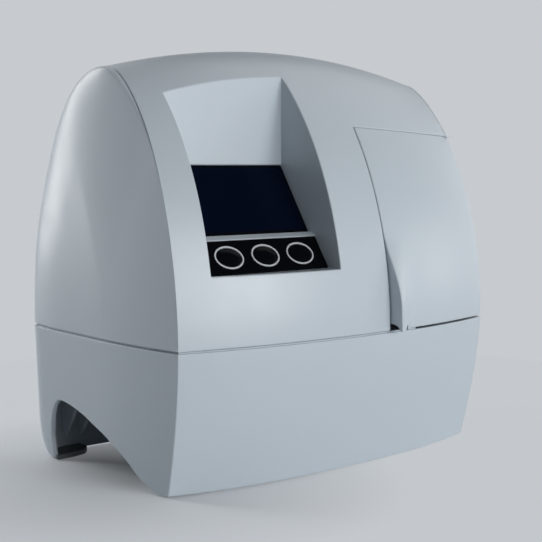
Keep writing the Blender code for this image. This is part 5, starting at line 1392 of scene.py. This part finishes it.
def build_keys():
    """Crowned oval caps, each in a slim pale ring."""
    for name, x in zip(KEY_NAMES, key_places()):
        inner, outer, top = FIT, FIT + RING_WIDTH, KEY_PROUD / 3
        stations = [(outer, -GLAZING), (outer, top - RING_ROUND), (outer - RING_ROUND, top),
                    (inner + RING_ROUND, top), (inner, top - RING_ROUND), (inner, -GLAZING)]
        bm = add_rings(bmesh.new(), oval_rings(stations), wrap=True)
        ring = place_piece("key_ring_" + name, bm, "ring_print", "button_ring_" + name)
        ring.matrix_basis = slanted_frame(PANEL_SLOPE, x)
        even_normals(ring)
        stations = [(0, -KEY_BODY), (0, -KEY_CROWN / 2)]
        for a in spread(0, QUARTER, KEY_EDGE_STEPS):
            stations.append((-KEY_EDGE * (1 - math.cos(a)),
                             -KEY_CROWN / 2 + KEY_CROWN / 2 * math.sin(a)))
        for share in CROWN_STEPS:
            reach = KEY_HEIGHT / 2 - KEY_EDGE
            stations.append((-KEY_EDGE - reach * (1 - share) * CROWN_REACH,
                             KEY_PROUD * (1 - share ** 2)))
        bm = add_rings(bmesh.new(), oval_rings(stations))
        stem = ellipse((0, 0), STEM_RADIUS, STEM_RADIUS)
        add_prism(bm, stem, "Z", -KEY_BODY - STEM_LENGTH, -KEY_BODY + FIT)
        cap = place_piece("key_cap_" + name, bm, "black_gloss", "button_" + name,
                          body="button_" + name)
        cap.matrix_basis = slanted_frame(PANEL_SLOPE, x)
        even_normals(cap)


FOOT_NAMES = ("front_left", "front_right", "rear_left", "rear_right")
FOOT_BORE = 3.05 * MM
FOOT_EDGE_SHARE = 0.3


def build_feet():
    """Pads under the housing with a round lower edge."""
    for name in FOOT_NAMES:
        node = "rubber_foot_" + name
        low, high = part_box(node)
        radius = (high.x - low.x) / 2
        centre = ((low.x + high.x) / 2, (low.y + high.y) / 2)
        edge = (high.z - low.z) / 3
        hollow = FOOT_BORE if "front" in name else radius / 3
        rings = []
        for r, z in ((hollow, low.z + edge), (hollow + edge, low.z), (radius - edge, low.z),
                     (radius - edge * FOOT_EDGE_SHARE, low.z + edge * FOOT_EDGE_SHARE),
                     (radius, low.z + edge),
                     (radius, high.z), (hollow, high.z)):
            rings.append([Vector((*p, z)) for p in ellipse(centre, r, r)])
        even_normals(place_piece(node + "_pad", add_rings(bmesh.new(), rings, wrap=True),
                                 "rubber", node))


# Floor, light and camera

FLOOR_SIZE = 8.0
BACKGROUND = (0.571, 0.597, 0.624)
FLOOR_COLOUR = (0.72, 0.76, 0.8)
FLOOR_LIGHTER = 1.01
FLOOR_CLOUD = 0.4
# Round this place the floor shows its real shadow; further off, near the object, up to NEAR_VEIL of
# the floor is covered by the background's glow as painted light
SHADE_PLACE = (-100 * MM, 5 * MM, 0)
SHADE_NEAR = 0.015
SHADE_FAR = 0.14
NEAR_VEIL = 0.92
FLOOR_NEAR = 0.15
FLOOR_FAR = 0.33
CAMERA_PLACE = (-368 * MM, -444.97 * MM, 144.5 * MM)
CAMERA_AZIMUTH = math.radians(39.39)
CAMERA_PITCH = math.radians(5.32)
LENS = 76
SENSOR = 36


def build_floor():
    """Pale floor that fades into the background's colour away from the object. Near the object the
    fade is painted light as well: an even glow covers most of the floor's real shading and the
    object's shadow, except round SHADE_PLACE at the object's left side, where the real shadow
    shows.
    """
    bm = bmesh.new()
    bmesh.ops.create_grid(bm, x_segments=1, y_segments=1, size=FLOOR_SIZE / 2)
    floor = new_object("floor", bm)
    finish = Finish("floor_paint", Roughness=0.85)
    lighter = tuple(c * FLOOR_LIGHTER for c in FLOOR_COLOUR)
    finish.colour(finish.between(finish.noise(FLOOR_CLOUD), FLOOR_COLOUR, lighter))
    # Glow of the background's colour: painted light that veils the floor's real shading and shadow,
    # by distance from the object and from SHADE_PLACE
    glow = finish.add("ShaderNodeEmission", {"Color": (*BACKGROUND, 1), "Strength": 1.0})
    away = finish.add("ShaderNodeVectorMath", {0: finish.place},
                      operation="LENGTH").outputs["Value"]
    beside = finish.add("ShaderNodeVectorMath", {0: finish.place, 1: SHADE_PLACE},
                        operation="DISTANCE").outputs["Value"]
    share = finish.math("MAXIMUM", finish.ranged(beside, 0.0, NEAR_VEIL, SHADE_NEAR, SHADE_FAR),
                        finish.ranged(away, 0.0, 1.0, FLOOR_NEAR, FLOOR_FAR))
    share = finish.math("MULTIPLY", finish.sees(), share)
    finish.blend(share, finish.shader, glow, "Material Output")
    floor.data.materials.append(finish.made)


WALL_RISE = math.sin(math.radians(18))
CEILING_RISE = math.sin(math.radians(38))
CEILING_SHADE = 0.12


def build_world():
    """World that gives no light. The camera, metal and glass see the background's colour."""
    world = Nodes(bpy.data.worlds.new("studio"))
    unlit = world.nodes["Background"]
    unlit.inputs["Strength"].default_value = 0.0
    place = world.add("ShaderNodeTexCoord").outputs["Generated"]
    height = world.add("ShaderNodeSeparateXYZ", {0: place}).outputs["Z"]
    shade = world.ranged(height, 1.0, CEILING_SHADE, WALL_RISE, CEILING_RISE)
    backdrop = world.add("ShaderNodeBackground", {"Color": (*BACKGROUND, 1), "Strength": shade})
    world.blend(world.sees(), unlit, backdrop, "World Output")
    bpy.context.scene.world = world.made


# Name, azimuth and elevation in degrees, size and power
LAMPS = (
    ("front_lamp", 0, 8, (1.0, 1.0), 14.2), ("low_fill", 20, 6, (0.5, 0.4), 4.6),
    ("right_fill", 60, 6, (0.5, 0.4), 1.7), ("right_lamp", 90, 10, (0.6, 1.0), 1.8),
    ("high_right", 95, 48, (1.0, 1.0), 3.0), ("back_lamp", 180, 45, (1.2, 1.2), 4.6),
    ("left_strip", -150, 12, (0.25, 1.0), 2.3), ("low_strip", -158, 12, (0.25, 1.0), 5.7),
    ("high_left", -142, 32, (0.25, 1.0), 5.6),
)
LAMP_DISTANCE = 1.6


def build_lamps():
    """Soft front light, weak fills at the right, one lamp behind and strips that light the left
    edge from behind."""
    middle = Vector((0, 0, HEIGHT / 2))
    for name, azimuth, elevation, size, power in LAMPS:
        a, e = math.radians(azimuth), math.radians(elevation)
        way = Vector((math.sin(a) * math.cos(e), -math.cos(a) * math.cos(e), math.sin(e)))
        place = middle + way * LAMP_DISTANCE
        lamp = bpy.data.lights.new(name, "AREA")
        lamp.shape = "RECTANGLE"
        lamp.size, lamp.size_y = size
        lamp.energy = power
        made = bpy.data.objects.new(name, lamp)
        made.location = place
        made.rotation_euler = (middle - place).to_track_quat("-Z", "Y").to_euler()
        bpy.context.scene.collection.objects.link(made)


def build_camera():
    camera = bpy.data.objects.new("camera", bpy.data.cameras.new("camera"))
    camera.data.lens = LENS
    camera.data.sensor_width = SENSOR
    camera.location = CAMERA_PLACE
    camera.rotation_euler = (QUARTER - CAMERA_PITCH, 0, -CAMERA_AZIMUTH)
    bpy.context.scene.collection.objects.link(camera)
    bpy.context.scene.camera = camera


for build in (dress_solids, build_lower_housing, build_gussets, build_columns, build_soles,
              build_front_cover, build_rear_cover, build_side_covers, build_door, build_panes,
              build_keys, build_feet, build_floor, build_world, build_lamps, build_camera):
    build()
bpy.context.scene.view_settings.view_transform = "Standard"
